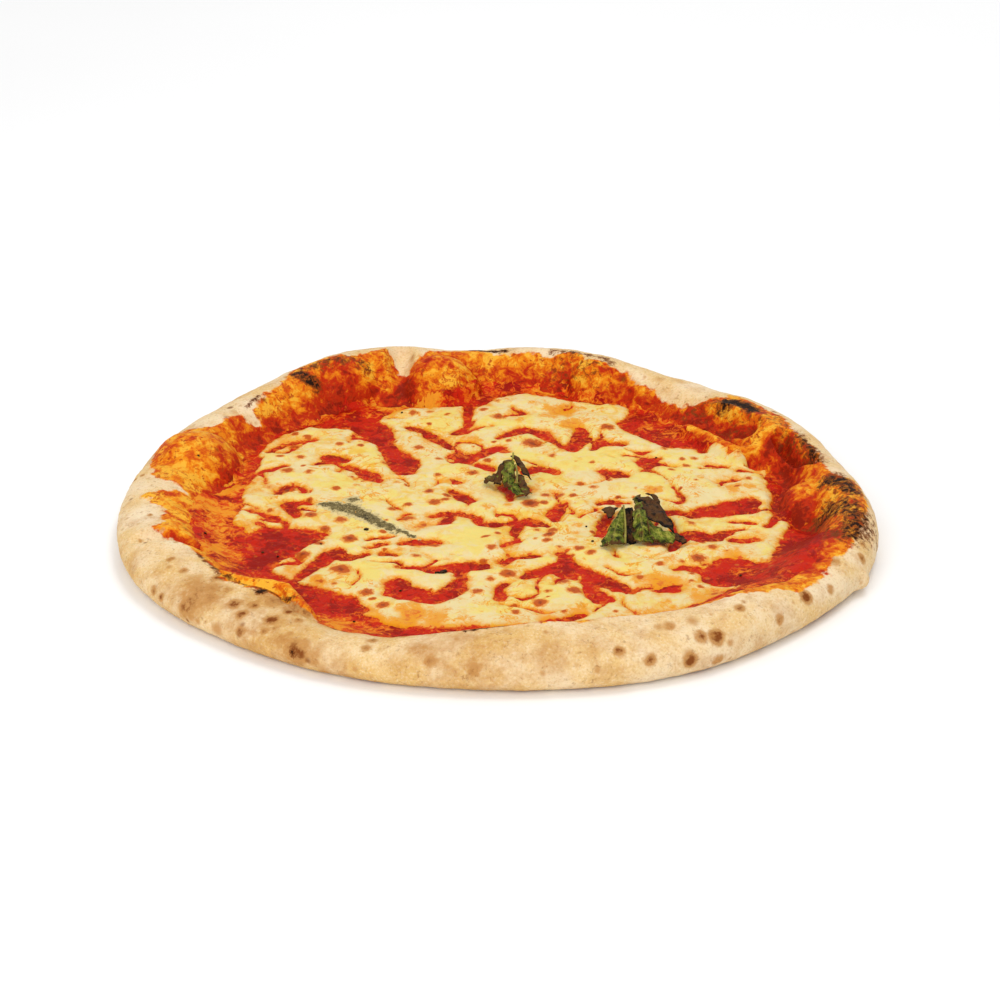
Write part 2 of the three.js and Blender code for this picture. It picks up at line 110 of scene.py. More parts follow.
def closedCurve(corners, steps):
    corners = np.array(corners, float)
    t = (np.arange(steps) / steps)[None, :, None]
    before, here, after, beyond = (np.roll(corners, -offset, 0)[:, None, :] for offset in (-1, 0, 1, 2))
    curve = 0.5 * (2 * here + (after - before) * t + (2 * before - 5 * here + 4 * after - beyond) * t ** 2
                   + (3 * here - before - 3 * after + beyond) * t ** 3)
    return curve.reshape(-1, 2)


def insideCurve(curve, x, y):
    inside = np.zeros(np.shape(x), bool)
    for (ax, ay), (bx, by) in zip(curve, np.roll(curve, -1, 0)):
        if ay != by:
            crossing = (ay > y) != (by > y)
            inside ^= crossing & (x < ax + (bx - ax) * (y - ay) / (by - ay))
    return inside


def insideBy(curve, x, y):  # distance to a closed curve, below zero outside it
    loop = np.vstack([curve, curve[:1]])
    return nearPath(loop, x, y)[0] * np.where(insideCurve(curve, x, y), 1, -1)


# small tools for meshes

def makePiece(name, points, faces, masks, material, nodes):
    mesh = bpy.data.meshes.new(name)
    moved = (points - [*middle, 0]) * mm
    mesh.from_pydata(moved.tolist(), [], faces)
    mesh.validate()
    mesh.shade_smooth()
    for maskName, values in masks.items():
        mask = mesh.attributes.new(maskName, "FLOAT", "POINT")
        mask.data.foreach_set("value", np.asarray(values, np.float32))
    mesh.materials.append(material)
    piece = bpy.data.objects.new(name, mesh)
    bpy.context.collection.objects.link(piece)
    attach(piece, "root")
    if nodes:
        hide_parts(*nodes)
    print(name, "has", len(mesh.polygons), "faces")
    return piece


def turnedFaces(turns, rings):  # faces of columns that stand round a middle, with a pole at each end
    here = (np.arange(turns) * rings)[:, None]
    following = (np.roll(np.arange(turns), -1) * rings)[:, None]
    step = np.arange(rings - 1)[None, :]
    quads = np.stack([here + step, following + step, following + step + 1, here + step + 1], -1)
    lowPole, highPole = turns * rings, turns * rings + 1
    low = np.stack([np.full(turns, lowPole), following[:, 0], here[:, 0]], -1)
    high = np.stack([here[:, 0] + rings - 1, following[:, 0] + rings - 1, np.full(turns, highPole)], -1)
    return quads.reshape(-1, 4).tolist() + low.tolist() + high.tolist()


def gridNormals(points):  # of a grid of points whose first direction closes on itself
    around = np.roll(points, -1, 0) - np.roll(points, 1, 0)
    along = np.gradient(points, axis=1)
    normals = np.cross(around, along)
    return normals / np.maximum(np.linalg.norm(normals, axis=2), 1e-9)[..., None]


def latticeFaces(places, kept=...):  # the squares of a lattice of point numbers, or those that are kept
    corners = places[:-1, :-1], places[1:, :-1], places[1:, 1:], places[:-1, 1:]
    return np.stack([corner[kept] for corner in corners], -1).reshape(-1, 4)


def sheetFaces(rows, columns, first):
    return latticeFaces(first + np.arange(rows * columns).reshape(rows, columns))


def thicken(piece, thickness):
    solid = piece.modifiers.new("thickness", "SOLIDIFY")
    solid.thickness = thickness * mm
    solid.offset = 0
    bpy.context.view_layer.objects.active = piece
    bpy.ops.object.modifier_apply(modifier=solid.name)


# small tools for materials

def linear(red, green, blue):
    return tuple((value / 255 / 12.92 if value < 10.3 else ((value / 255 + 0.055) / 1.055) ** 2.4)
                 for value in (red, green, blue)) + (1,)


class Finish:  # a material from a piece's dictionary, and short ways to add its nodes
    def __init__(self, name, piece):
        self.material = bpy.data.materials.new(name)
        self.material.use_nodes = True
        self.nodes = self.material.node_tree.nodes
        self.links = self.material.node_tree.links
        self.shader = self.nodes["Principled BSDF"]
        self.place = self.nodes.new("ShaderNodeTexCoord").outputs["Object"]
        self.texture = {key: self.noise(*values) for key, values in piece["textures"].items()}
        self.tone = {key: linear(*values) for key, values in piece["colours"].items()}
        self.bumps = piece["bumps"]
        self.shine = piece["shine"]

    def node(self, kind, inputs, **settings):
        made = self.nodes.new(kind)
        for name, value in settings.items():
            setattr(made, name, value)
        for name, value in inputs.items():
            self.feed(made.inputs[name], value)
        return made

    def feed(self, socket, value):
        if isinstance(value, bpy.types.NodeSocket):
            self.links.new(value, socket)
        else:
            socket.default_value = value

    def mask(self, name):
        return self.node("ShaderNodeAttribute", {}, attribute_name=name).outputs["Fac"]

    def noise(self, size, detail=3, roughness=0.55, distortion=0):
        made = self.node("ShaderNodeTexNoise", {
            "Vector": self.place, "Scale": 1 / (size * mm), "Detail": detail, "Roughness": roughness,
            "Distortion": distortion})
        return made.outputs["Fac"]

    def step(self, value, low, high, start=0.0, end=1.0):
        made = self.node("ShaderNodeMapRange", {
            "Value": value, "From Min": low, "From Max": high, "To Min": start, "To Max": end},
            interpolation_type="SMOOTHSTEP", clamp=True)
        return made.outputs["Result"]

    def math(self, operation, a, b=0.0):
        made = self.node("ShaderNodeMath", {}, operation=operation)
        self.feed(made.inputs[0], a)
        self.feed(made.inputs[1], b)
        return made.outputs[0]

    def blend(self, amount, a, b):
        made = self.node("ShaderNodeMix", {}, data_type="RGBA", blend_type="MIX", clamp_factor=True)
        self.feed(made.inputs[0], amount)
        self.feed(made.inputs[6], a)
        self.feed(made.inputs[7], b)
        return made.outputs[2]

    def specks(self, size, share, radius, soft):  # round specks in some of the cells
        settings = {"Vector": self.place, "Scale": 1 / (size * mm), "Randomness": 1}
        cells = self.node("ShaderNodeTexVoronoi", settings, feature="F1")
        distance = cells.outputs["Distance"]
        split = self.node("ShaderNodeSeparateColor", {"Color": cells.outputs["Color"]})
        chosen = self.step(split.outputs["Red"], 1 - share, 1 - share + 0.02)
        reach = self.math("MULTIPLY", split.outputs["Green"], radius)
        near = self.math("SUBTRACT", self.math("ADD", reach, 0.06), distance)
        return self.math("MULTIPLY", chosen, self.step(near, -soft, soft))

    def ridge(self, key):  # 0 on thin curling lines of a texture
        return self.math("ABSOLUTE", self.math("SUBTRACT", self.texture[key], 0.5))

    def jitter(self, value, key, spread, low=0.3, high=0.7):  # roughens a mask with a texture
        return self.math("ADD", value, self.step(self.texture[key], low, high, -spread, spread))

    def paint(self, color, *layers):  # a layer is a tone, its mask, the mask's low and high, and strength
        for tone, mask, low, high, strength in layers:
            color = self.blend(self.step(mask, low, high, 0, strength), color, self.tone[tone])
        return color

    def dots(self, color, tone, size, share, radius, strength, soft=0.12):
        mask = self.math("MULTIPLY", self.specks(size, share, radius, soft), strength)
        return self.blend(mask, color, self.tone[tone])

    def finish(self, color, roughness):
        self.feed(self.shader.inputs["Base Color"], color)
        self.feed(self.shader.inputs["Roughness"], roughness)
        normal = {}
        for key, height, strength in self.bumps:
            inputs = {"Height": self.texture[key], "Distance": height * mm, "Strength": strength}
            normal = {"Normal": self.node("ShaderNodeBump", {**inputs, **normal}).outputs["Normal"]}
        self.feed(self.shader.inputs["Normal"], normal["Normal"])
        for name, value in self.shine.items():
            self.shader.inputs[name].default_value = value
        return self.material


# the dough: rings run out along the underside, up the rim and down into the dish

dough = {
    "discTop": 3.2,
    "underRound": 7,  # how far in the rim starts to round up from the table
    "shoulder": 6.5,  # height where its outside is widest
    "bubbleRoundness": 0.72,
    "blend": 1.3,  # how softly bubbles and folds run into each other
    "wrinkleSize": 15,
    "wrinkleHeight": 0.8,
    "turns": 960,
    "underSteps": 14,
    "underShares": (0.07, 0.97),  # where its flat underside has its first and last ring
    "lowerSteps": 9,
    "upperSteps": 18,
    "slopeSteps": 50,
    "pastFoot": (1.3, 2.6, 4, 5.5, 7.5, 10, 20, 60),  # rings past the foot, where the folds still reach
    "grain": 0.07,  # height of the finest unevenness
    "grainSize": 1.9,
    "dimples": 0.2,
    "dimpleSize": 7,
    "crackle": 0.16,  # height of the blistered skin where it is golden
    "crackleSizes": (6, 4.4, 2),  # of its bends, its ridges and its fine creases
    "crackleBend": 1.4,
    "charPits": 0.25,
    "charPitSize": 2.4,
    "goldRagged": [(1.6, 0, 9), (1.5, 40, 3.2)],  # height, level and size
    "redness": {  # of the oiled inside: high up, low down, between which heights, and how uneven
        "high": 0.08, "low": 0.95, "heights": (14.5, 5), "uneven": 0.35, "unevenSize": 14,
        "oilAndShadeInFurrows": 0.5, "onFolds": 0.55, "besideFolds": 0.35, "most": 1.3},
    "footTan": 0.55,
    "roughness": 0.9,
    "oiledSmoother": 0.35,
    "bumps": [("grain", 0.14, 1), ("skin", 0.3, 0.8)],  # texture, height in millimetres and strength
    "spotStrength": 1.4,
    "rim": {  # each list goes round in even steps from +X towards +Y; crest, sauce and foot count inwards
        "reach": [
            146.4, 143.6, 145, 146.3, 143.2, 144.3, 147.4, 148.3, 148.5, 151.9,
            152.4, 149.3, 147.4, 147.8, 148, 149, 150.6, 151.8, 150.3, 148,
            147.4, 146.8, 146.3, 147.4, 149.6, 151, 150.4, 151, 153, 151.2],
        "top": [
            18.5, 17, 17, 16.5, 15.5, 15.5, 19, 18.6, 17, 20.5,
            21.5, 18.5, 16.8, 16, 15, 14, 14, 16, 14.8, 14,
            12.6, 13.8, 17, 18.8, 18.8, 18.3, 18, 14.6, 16.8, 19.5],
        "crest": [
            11, 15, 17, 19, 16, 14, 15, 12, 13, 16,
            16, 15, 15, 15, 17, 18, 18, 19, 19, 21,
            11, 9, 15, 19, 20, 16, 14, 8.5, 12, 11],
        "sauce": [
            33, 24, 34, 39, 28, 25, 26, 22, 24, 40,
            28, 29, 27, 30, 36, 26, 25, 27, 26, 30,
            21, 18, 23, 26, 28, 24, 17, 12, 14, 24],
        "foot": [
            34, 24, 38, 42, 35, 31, 29, 29, 34, 43,
            32, 34, 31, 34, 39, 41, 42, 43, 41, 39,
            36, 34, 34, 36, 39, 41, 41, 44, 43, 29.5],
        "flour": [  # how white the outside is
            0.5, 0.5, 0.55, 0.6, 0.6, 0.55, 0.5, 0.5, 0.45, 0.45,
            0.45, 0.5, 0.6, 0.6, 0.6, 0.55, 0.6, 0.5, 0.4, 0.3,
            0.2, 0.2, 0.3, 0.4, 0.5, 0.55, 0.55, 0.55, 0.5, 0.5],
    },
    "bubbles": [  # warmth makes them redder
        {"x": -125, "y": 36, "long": 26, "wide": 19.5, "turn": 76, "top": 20, "warmth": 0},
        {"x": -67, "y": 117, "long": 21, "wide": 15, "turn": 30, "top": 22, "warmth": 0.35},
        {"x": -25, "y": 120, "long": 19, "wide": 17, "turn": 12, "top": 20.5, "warmth": 0.4},
        {"x": 45, "y": 121, "long": 16, "wide": 13, "turn": -22, "top": 20, "warmth": 0.2},
        {"x": 65, "y": 107, "long": 9, "wide": 8, "turn": -32, "top": 14, "warmth": 0.2},
        {"x": 122.5, "y": 0, "long": 16, "wide": 10, "turn": 88, "top": 13.5, "warmth": 0.35},
        {"x": 98, "y": 74, "long": 20, "wide": 11, "turn": -42, "top": 17, "warmth": 0.2},
    ],
    "folds": [  # lines of x, y and height, with half width and how steep their sides are
        {"half": 4.5, "side": 5, "path": [
            [81, 72, 9], [88, 62, 10.5], [94, 52, 11], [100, 45, 11], [107, 47, 11], [114, 60, 13]]},
        {"half": 3.5, "side": 4, "path": [
            [-109, -73, 15], [-92, -84, 15.5], [-77, -90, 15.5], [-69, -104, 14]]},
        {"half": 4, "side": 3, "path": [[-137, -8, 14.5], [-122, -22, 12]]},
    ],
    "furrows": [  # the same for hollows
        {"half": 5, "side": 5, "path": [[84, 80, 8], [92, 71, 6], [98, 63, 6], [104, 59, 6.5]]},
        {"half": 5, "side": 4, "path": [[-42, 130, 14], [-42, 110, 8]]},
        {"half": 5, "side": 3, "path": [[-152, -48, 9], [-138, -46, 11], [-122, -46, 10], [-110, -50, 8]]},
        {"half": 2.5, "side": 3, "path": [[117, 46, 7], [118, 40, 6.5], [123, 29, 6.5], [129, 20, 8]]},
        {"half": 3, "side": 3, "path": [[113, 15, 4.5], [111.5, 2, 4], [112, -12, 4], [116, -22, 4.5]]},
    ],
    "knob": {"x": 139, "y": -67, "z": 5, "radius": 7, "lift": 2.4},  # a torn bit at the right
    "smudges": [  # x, y, height, radius and strength
        (-108, -92, 11, 11, 0.75), (-112, -95, 9, 6, 0.95), (-112, -86, 12, 8, 0.5), (-71, -128, 8, 6.5, 1),
        (-77, -123, 10, 6, 0.6), (-64, -131, 7, 6, 0.45), (-80, -97, 13, 9, 0.72), (-72, -103, 13, 8, 0.75),
        (-27, -138, 14, 7, 0.45), (-23, -142, 12, 4, 0.6), (-8, -145, 11, 5, 0.65),
        (19, -142, 14, 11, 0.35), (33, -138, 16, 8, 0.3), (-34, -141, 10, 8, 0.3), (-55, -135, 6, 8, 0.35),
        (94, -117, 6, 6, 0.3), (-134, -60, 8, 9, 0.25), (-85, -120, 10, 30, 0.34), (-10, -143, 12, 30, 0.3),
        (-116, -86, 9, 16, 0.3), (82, -122, 10, 8, 0.2)],
    "spots": [  # the same
        (-102, -82, 15, 3.4, 0.9), (-69, -106, 13, 3, 0.9), (-95, -100, 12, 3.4, 0.85),
        (-92, -107, 12, 2.8, 0.85), (-88, -102, 13, 3, 0.7), (-81, -112, 12, 3.4, 1),
        (-92, -114, 9, 2.8, 0.7), (-83, -117, 11, 2.2, 0.8), (-99, -91, 14, 2.6, 0.6),
        (-103, -95, 13, 2.2, 0.6), (-75, -107, 13, 2.4, 0.8), (-71, -113, 12, 2.2, 0.7),
        (43, -139, 14, 2.4, 0.9), (78, -126, 13, 3.4, 1.1), (72, -128, 14, 2.8, 0.8),
        (68, -134, 8, 3.4, 0.8), (54, -139, 11, 2.8, 0.7), (61, -126, 18, 2.6, 0.6),
        (79, -130, 5, 2.8, 0.9), (87, -112, 17, 2.4, 0.7), (102, -109, 11, 2.4, 0.7),
        (-44, -129, 14, 2.4, 0.7), (-33, -129, 14, 2, 0.6), (-46, -134, 13, 2.2, 0.6),
        (113, -95, 13, 3.2, 1.1), (125, -70, 15, 3.6, 0.6), (123, -85, 11, 2.4, 0.6),
        (137, -62, 12, 2.6, 0.7), (141, -71, 3, 5, 1), (134, -80, 5, 4, 0.6), (127, -72, 11, 3, 0.6),
        (120, -97, 4, 3, 0.9), (-134, 27, 16, 2.4, 0.9), (-135, 17, 14, 2.4, 0.8), (-127, 48, 17, 2, 0.8),
        (-131, 31, 18, 2, 0.6), (-116, 39, 17, 2, 0.8), (-112, 25, 9, 2.2, 1), (-115, -17, 7, 2.4, 1),
        (-112, -13, 7, 2, 1), (-130, -15, 14, 2.6, 0.9), (-126, -18, 13, 2.2, 0.9), (-49, 117, 16, 2, 0.8),
        (-146, 14, 10, 1.6, 0.7), (-143, 15, 12, 1.4, 0.7), (-135, -26, 13, 1.4, 0.6),
        (-129, -40, 14, 1.6, 0.6), (-136, -45, 12, 1.4, 0.6), (-122, -68, 15, 1.8, 0.7),
        (-116, -76, 14, 1.8, 0.8), (-109, -68, 15, 1.4, 0.8), (-127, -80, 8, 2.2, 0.7),
        (-124, -85, 8, 2, 0.7), (136, 52, 10, 2.6, 1), (131, 62, 10, 2, 0.9), (-96, 100, 10, 1.6, 0.7),
        (-118, 84, 9, 1.6, 0.6)],
    "black": [  # the same
        (-86, -93, 14, 3, 1.3), (-81, -112, 12, 1.3, 0.9), (78, -126, 13, 1.4, 0.8), (-121, 24, 16, 1, 1.2),
        (35.5, -120.5, 17, 1.8, 1.2), (-72, -128, 8, 2.6, 0.75), (113, -95, 13, 1.8, 0.8),
        (136, 53, 10, 1.5, 0.9)],
    "charred": [  # lines with half width and strength
        {"path": [[132, -2], [137, -8], [139, -16]], "half": 5.5, "strength": 1},
        {"path": [[128, -22], [136, -30], [139, -40], [134, -50]], "half": 8, "strength": 0.82},
        {"path": [[122, -30], [126, -44]], "half": 8, "strength": 0.5},
        {"path": [[97, 79], [104, 77], [108, 70]], "half": 4.6, "strength": 1.25},
        {"path": [[84, 84], [97, 80], [107, 72], [114, 62], [119, 53], [123, 43]],
         "half": 6, "strength": 0.36},
        {"path": [[96, 66], [106, 58]], "half": 7, "strength": 0.34},
        {"path": [[124, 43], [128, 32], [131, 17]], "half": 3, "strength": 0.8},
        {"path": [[-87, 104], [-79, 102]], "half": 3.4, "strength": 1},
        {"path": [[-84, 108], [-72, 114], [-58, 116]], "half": 4, "strength": 0.6},
        {"path": [[-106, 76], [-101, 85]], "half": 1.2, "strength": 0.8},
        {"path": [[-112, -62], [-104, -77], [-94, -87], [-84, -92], [-74, -98]],
         "half": 1.5, "strength": 0.7},
        {"path": [[-60, -111], [-52, -116]], "half": 1.4, "strength": 0.7},
        {"path": [[-12, 139], [4, 135]], "half": 1.8, "strength": 1},
        {"path": [[24, 132], [40, 127], [49, 119]], "half": 2.6, "strength": 0.65},
        {"path": [[28, 122], [44, 116]], "half": 7, "strength": 0.3},
        {"path": [[-11, -129], [-5, -127.5], [3, -127]], "half": 1.3, "strength": 1}],
    "goldOutline": [  # inside this line the dough is golden and oiled, outside it is pale and floured
        [144, -20], [143, -5], [138, -2], [132, 6], [130, 30], [125, 45], [121, 63], [113, 74], [104, 88],
        [93, 86], [82, 88], [72, 97], [68, 103], [62, 109], [54, 115], [45, 119], [36, 128], [25, 130],
        [14, 133], [3, 134], [-8, 136], [-17, 138], [-30, 132], [-35, 125], [-40, 119], [-45, 125],
        [-49, 129], [-64, 119], [-73, 119], [-87, 112], [-93, 96], [-99, 88], [-102, 81], [-104, 75],
        [-100, 71], [-110, 68], [-119, 57], [-132, 52], [-140, 34], [-140, 17], [-134, 6], [-124, -1],
        [-139, -6], [-137, -13], [-131, -18], [-129, -28], [-130, -36], [-131, -40], [-121, -45],
        [-118, -54], [-109, -68], [-98, -85], [-86, -92], [-75, -99], [-66, -108], [-46, -120], [-22, -126],
        [0, -128], [22, -126], [44, -121], [63, -114], [82, -105], [98, -99], [111, -93], [117, -87],
        [122, -79], [126, -69], [132, -61], [137, -50], [142, -38]],
    "goldPatches": [  # x, y, radius and strength of golden places low on the inside of the rim
        (-52, -107, 14, 0.8), (-66, -100, 10, 0.6), (-114, -14, 17, 0.7), (-118, 14, 14, 0.6),
        (-104, 48, 12, 0.5), (-86, 80, 10, 0.4), (98, 60, 9, 0.3), (98, 74, 13, 0.5), (112, -72, 8, 0.3),
        (-20, 112, 9, 0.3), (38, 113, 9, 0.3)],
    "redPatches": [  # the same for red places; those along the right-hand furrows are partly painted shade in the creases
        (117, -25, 9, 0.9), (121, -38, 11, 1), (121, -52, 12, 1), (120, -62, 10, 1), (114, -74, 8, 0.9),
        (113, 14, 7, 1), (112, 3, 6, 1), (114, -11, 7, 1), (117, 44, 7, 1), (121, 35, 7, 1),
        (127, 25, 6, 0.9), (117, 26, 7, 0.9), (-66, 105, 12, 0.5), (-113, -30, 8, 0.4), (-116, 8, 6, 0.6),
        (-100, 62, 6, 0.5)],
    "outsideSpecks": [  # tone, size, share of places, radius, strength and softness
        ("tan", 12, 0.5, 0.17, 0.8), ("tan", 6, 0.3, 0.16, 0.75), ("brown", 11, 0.35, 0.08, 0.8, 0.06)],
    "colours": {
        "cream": (222, 182, 114),
        "floury": (236, 214, 178),
        "tan": (186, 132, 72),
        "brown": (120, 58, 16),
        "black": (36, 18, 8),
        "gold": (226, 132, 18),
        "yellow": (236, 172, 50),
        "amber": (208, 92, 10),
        "red": (184, 42, 8),
        "wine": (120, 24, 6),
        "rust": (180, 48, 10),
    },
    "textures": {  # size, detail, roughness and distortion
        "broad": (16, 4),
        "fine": (3.5, 4, 0.65),
        "grain": (0.9, 2),
        "patches": (11, 5, 0.7),
        "warmPlaces": (9, 4, 0.65, 0.5),
        "warmSpots": (3.8, 4, 0.65, 0.6),
        "curls": (6, 3, 0.6, 1.6),
        "curlPlaces": (13, 3),
        "flecks": (2.2, 3, 0.6, 0.4),
        "fleckPlaces": (10, 3),
        "broken": (2.2, 5, 0.75, 0.5),
        "skin": (2.6, 5, 0.7),
    },
    "shine": {"Subsurface Weight": 0.05, "Subsurface Scale": 0.002, "Specular IOR Level": 0.06},
}


def rimAt(name, angle):  # smooth closed curve through a rim list
    values = np.array(dough["rim"][name], float)
    count = len(values)
    place = (angle / (2 * math.pi) * count) % count
    index = np.floor(place).astype(int)
    t = place - index
    before, here, after, beyond = (values[(index + offset) % count] for offset in (-1, 0, 1, 2))
    startSlope, endSlope = (after - before) / 2, (beyond - here) / 2
    cubic = 2 * here - 2 * after + startSlope + endSlope
    square = 3 * after - 3 * here - 2 * startSlope - endSlope
    return ((cubic * t + square) * t + startSlope) * t + here


def softMax(a, b):
    near = np.maximum(dough["blend"] - np.abs(a - b), 0) / dough["blend"]
    return np.maximum(a, b) + near * near * dough["blend"] / 4


def bubbleInside(bubble, x, y):
    turn = math.radians(bubble["turn"])
    dx, dy = x - bubble["x"], y - bubble["y"]
    along = (dx * math.cos(turn) + dy * math.sin(turn)) / bubble["long"]
    across = (dy * math.cos(turn) - dx * math.sin(turn)) / bubble["wide"]
    return np.maximum(1 - along ** 2 - across ** 2, 0)


def doughHeight(x, y):
    angle = np.arctan2(y, x)
    inset = rimAt("reach", angle) - np.hypot(x, y)
    top, crest, foot = (rimAt(name, angle) for name in ("top", "crest", "foot"))
    discTop, shoulder = dough["discTop"], dough["shoulder"]
    out = np.clip((crest - np.maximum(inset, 0)) / crest, 0, 1)
    outside = shoulder + (top - shoulder) * np.sqrt(1 - out * out)
    down = np.clip((inset - crest) / (foot - crest), 0, 1)
    inside = mix(discTop, top, 0.5 + 0.5 * np.cos(math.pi * down))
    height = np.where(inset <= crest, outside, inside)
    for bubble in dough["bubbles"]:
        swell = bubbleInside(bubble, x, y)
        risen = discTop + (bubble["top"] - discTop) * swell ** dough["bubbleRoundness"]
        height = softMax(height, np.where(swell > 0, risen, 0))
    for furrow in dough["furrows"]:
        distance, value = nearPath(furrow["path"], x, y)
        height = -softMax(-height, -(value + furrow["side"] * (distance / furrow["half"]) ** 2))
    for fold in dough["folds"]:
        distance, value = nearPath(fold["path"], x, y)
        height = softMax(height, value - fold["side"] * (distance / fold["half"]) ** 2)
    raised = softStep(discTop, shoulder, height) * softStep(0, dough["underRound"], inset)
    return height + raised * dough["wrinkleHeight"] * noise(x, y, 37, dough["wrinkleSize"])


outlineAngles = np.linspace(0, 2 * math.pi, 720, endpoint=False)
outlineX = rimAt("reach", outlineAngles) * np.cos(outlineAngles)
outlineY = rimAt("reach", outlineAngles) * np.sin(outlineAngles)
middle = ((outlineX.max() + outlineX.min()) / 2, (outlineY.max() + outlineY.min()) / 2)
goldCurve = closedCurve(dough["goldOutline"], 3)


def crackle(x, y, z):  # 1 on the blistered skin's ridges, down to -1 in its creases
    bends, ridges, fine = dough["crackleSizes"]
    bent = dough["crackleBend"] * noise(x, y, z + 60, bends)
    lines = 1 - 2.4 * np.abs(noise(x + bent, y - bent, z, ridges))
    return np.clip(0.75 * lines + 0.35 * (1 - 3 * np.abs(noise(x, y, z + 5, fine))), -1, 1)


def doughMasks(x, y, z, inset, angle):
    ragged = waves(x, y, z, dough["goldRagged"])
    above = softStep(1.5, 3, z)  # 0 on the underside
    gold = softStep(-1.6, 1.8, insideBy(goldCurve, x, y) + ragged) * softStep(0, 4, inset) * above
    redness = dough["redness"]
    red = redness["high"] + redness["low"] * softStep(*redness["heights"], z)
    red = red + redness["uneven"] * noise(x, y, z + 9, redness["unevenSize"])
    for bubble in dough["bubbles"]:
        red = red + bubble["warmth"] * bubbleInside(bubble, x, y) ** 0.5
    for furrow in dough["furrows"]:
        away = nearPath(furrow["path"], x, y)[0] / furrow["half"]
        # redder in the furrows: partly oil gathered there, partly painted shade in the hollows
        red = red + redness["oilAndShadeInFurrows"] * softStep(1.5, 0.3, away)
    red = red - nearPatch(dough["goldPatches"], x, y) + nearPatch(dough["redPatches"], x, y)
    for fold in dough["folds"]:
        away = nearPath(fold["path"], x, y)[0] / fold["half"]
        beside = softStep(0.9, 1.3, away) * softStep(2.4, 1.5, away)
        red = red - redness["onFolds"] * softStep(1.1, 0.3, away) + redness["besideFolds"] * beside
    red = np.clip(red, 0, redness["most"])
    char = np.zeros_like(x)
    for line in dough["charred"]:
        away = nearPath(line["path"], x, y)[0] / line["half"]
        char = np.maximum(char, line["strength"] * np.clip(1.3 - away, 0, 1))
    smudges, spots, black = (nearSpot(dough[name], x, y, z) for name in ("smudges", "spots", "black"))
    tan = np.maximum(smudges, dough["spotStrength"] * spots)
    foot = dough["footTan"] * softStep(3.2, 0.4, z) * softStep(-0.5, 0.6, noise(x, y, z, 16))
    return {
        "gold": gold,
        "red": red,
        "crease": crackle(x, y, z),
        "char": np.maximum(char * above, black),
        "tan": np.maximum(tan, foot),
        "flour": rimAt("flour", angle),
    }


def makeDough(material):
    turns = dough["turns"]
    angle = np.linspace(0, 2 * math.pi, turns, endpoint=False)[:, None]
    reach, crest, foot = (rimAt(name, angle) for name in ("reach", "crest", "foot"))
    under = reach - dough["underRound"]
    radii, heights = [], []
    for share in np.linspace(*dough["underShares"], dough["underSteps"]):
        radii.append(under * share)
        heights.append(0 * angle)
    for step in range(dough["lowerSteps"]):
        swing = step / dough["lowerSteps"] * math.pi / 2
        radii.append(reach - dough["underRound"] * (1 - math.sin(swing)))
        heights.append(0 * angle + dough["shoulder"] * (1 - math.cos(swing)))
    topStart = len(radii)
    for step in range(dough["upperSteps"]):
        radii.append(reach - crest * (1 - math.cos(step / dough["upperSteps"] * math.pi / 2)))
    for step in range(dough["slopeSteps"] + 1):
        radii.append(reach - mix(crest, foot, step / dough["slopeSteps"]))
    for inwards in dough["pastFoot"]:
        radii.append(reach - foot - inwards)
    radius = np.concatenate(radii, 1)
    x, y = radius * np.cos(angle), radius * np.sin(angle)
    z = np.concatenate(heights + [doughHeight(x[:, topStart:], y[:, topStart:])], 1)
    inset = reach - radius
    points = np.stack([x, y, z], -1)
    masks = doughMasks(x, y, z, inset, angle + 0 * x)
    # the skin: dimples and grain everywhere, blisters where it is golden, nothing under the sauce
    bare = softStep(0, 0.8, z) * np.where(inset > 5, softStep(0.3, 0, sauceCover(x, y, z)), 1)
    skin = dough["dimples"] * roughNoise(x, y, z, dough["dimpleSize"])
    skin = skin + dough["grain"] * noise(x, y, z, dough["grainSize"])
    skin = skin + masks["gold"] * dough["crackle"] * masks["crease"]
    pits = np.abs(noise(x, y, z, dough["charPitSize"]))
    skin = skin - dough["charPits"] * np.clip(masks["char"], 0, 1) * pits
    knob = dough["knob"]
    away = np.sqrt((x - knob["x"]) ** 2 + (y - knob["y"]) ** 2 + (z - knob["z"]) ** 2)
    skin = skin + knob["lift"] * softStep(knob["radius"], 1, away) * (1 + 0.5 * noise(x, y, z, 3))
    points = points + gridNormals(points) * (bare * skin)[..., None]
    points[..., 2] = np.maximum(points[..., 2], 0)
    rings = radius.shape[1]
    allPoints = np.concatenate([points.reshape(-1, 3), [[0, 0, 0], [0, 0, dough["discTop"]]]])
    allMasks = {name: np.append(values.reshape(-1), [0, 0]) for name, values in masks.items()}
    makePiece(
        "crust_dough", allPoints, turnedFaces(turns, rings), allMasks, material, ["crust"])


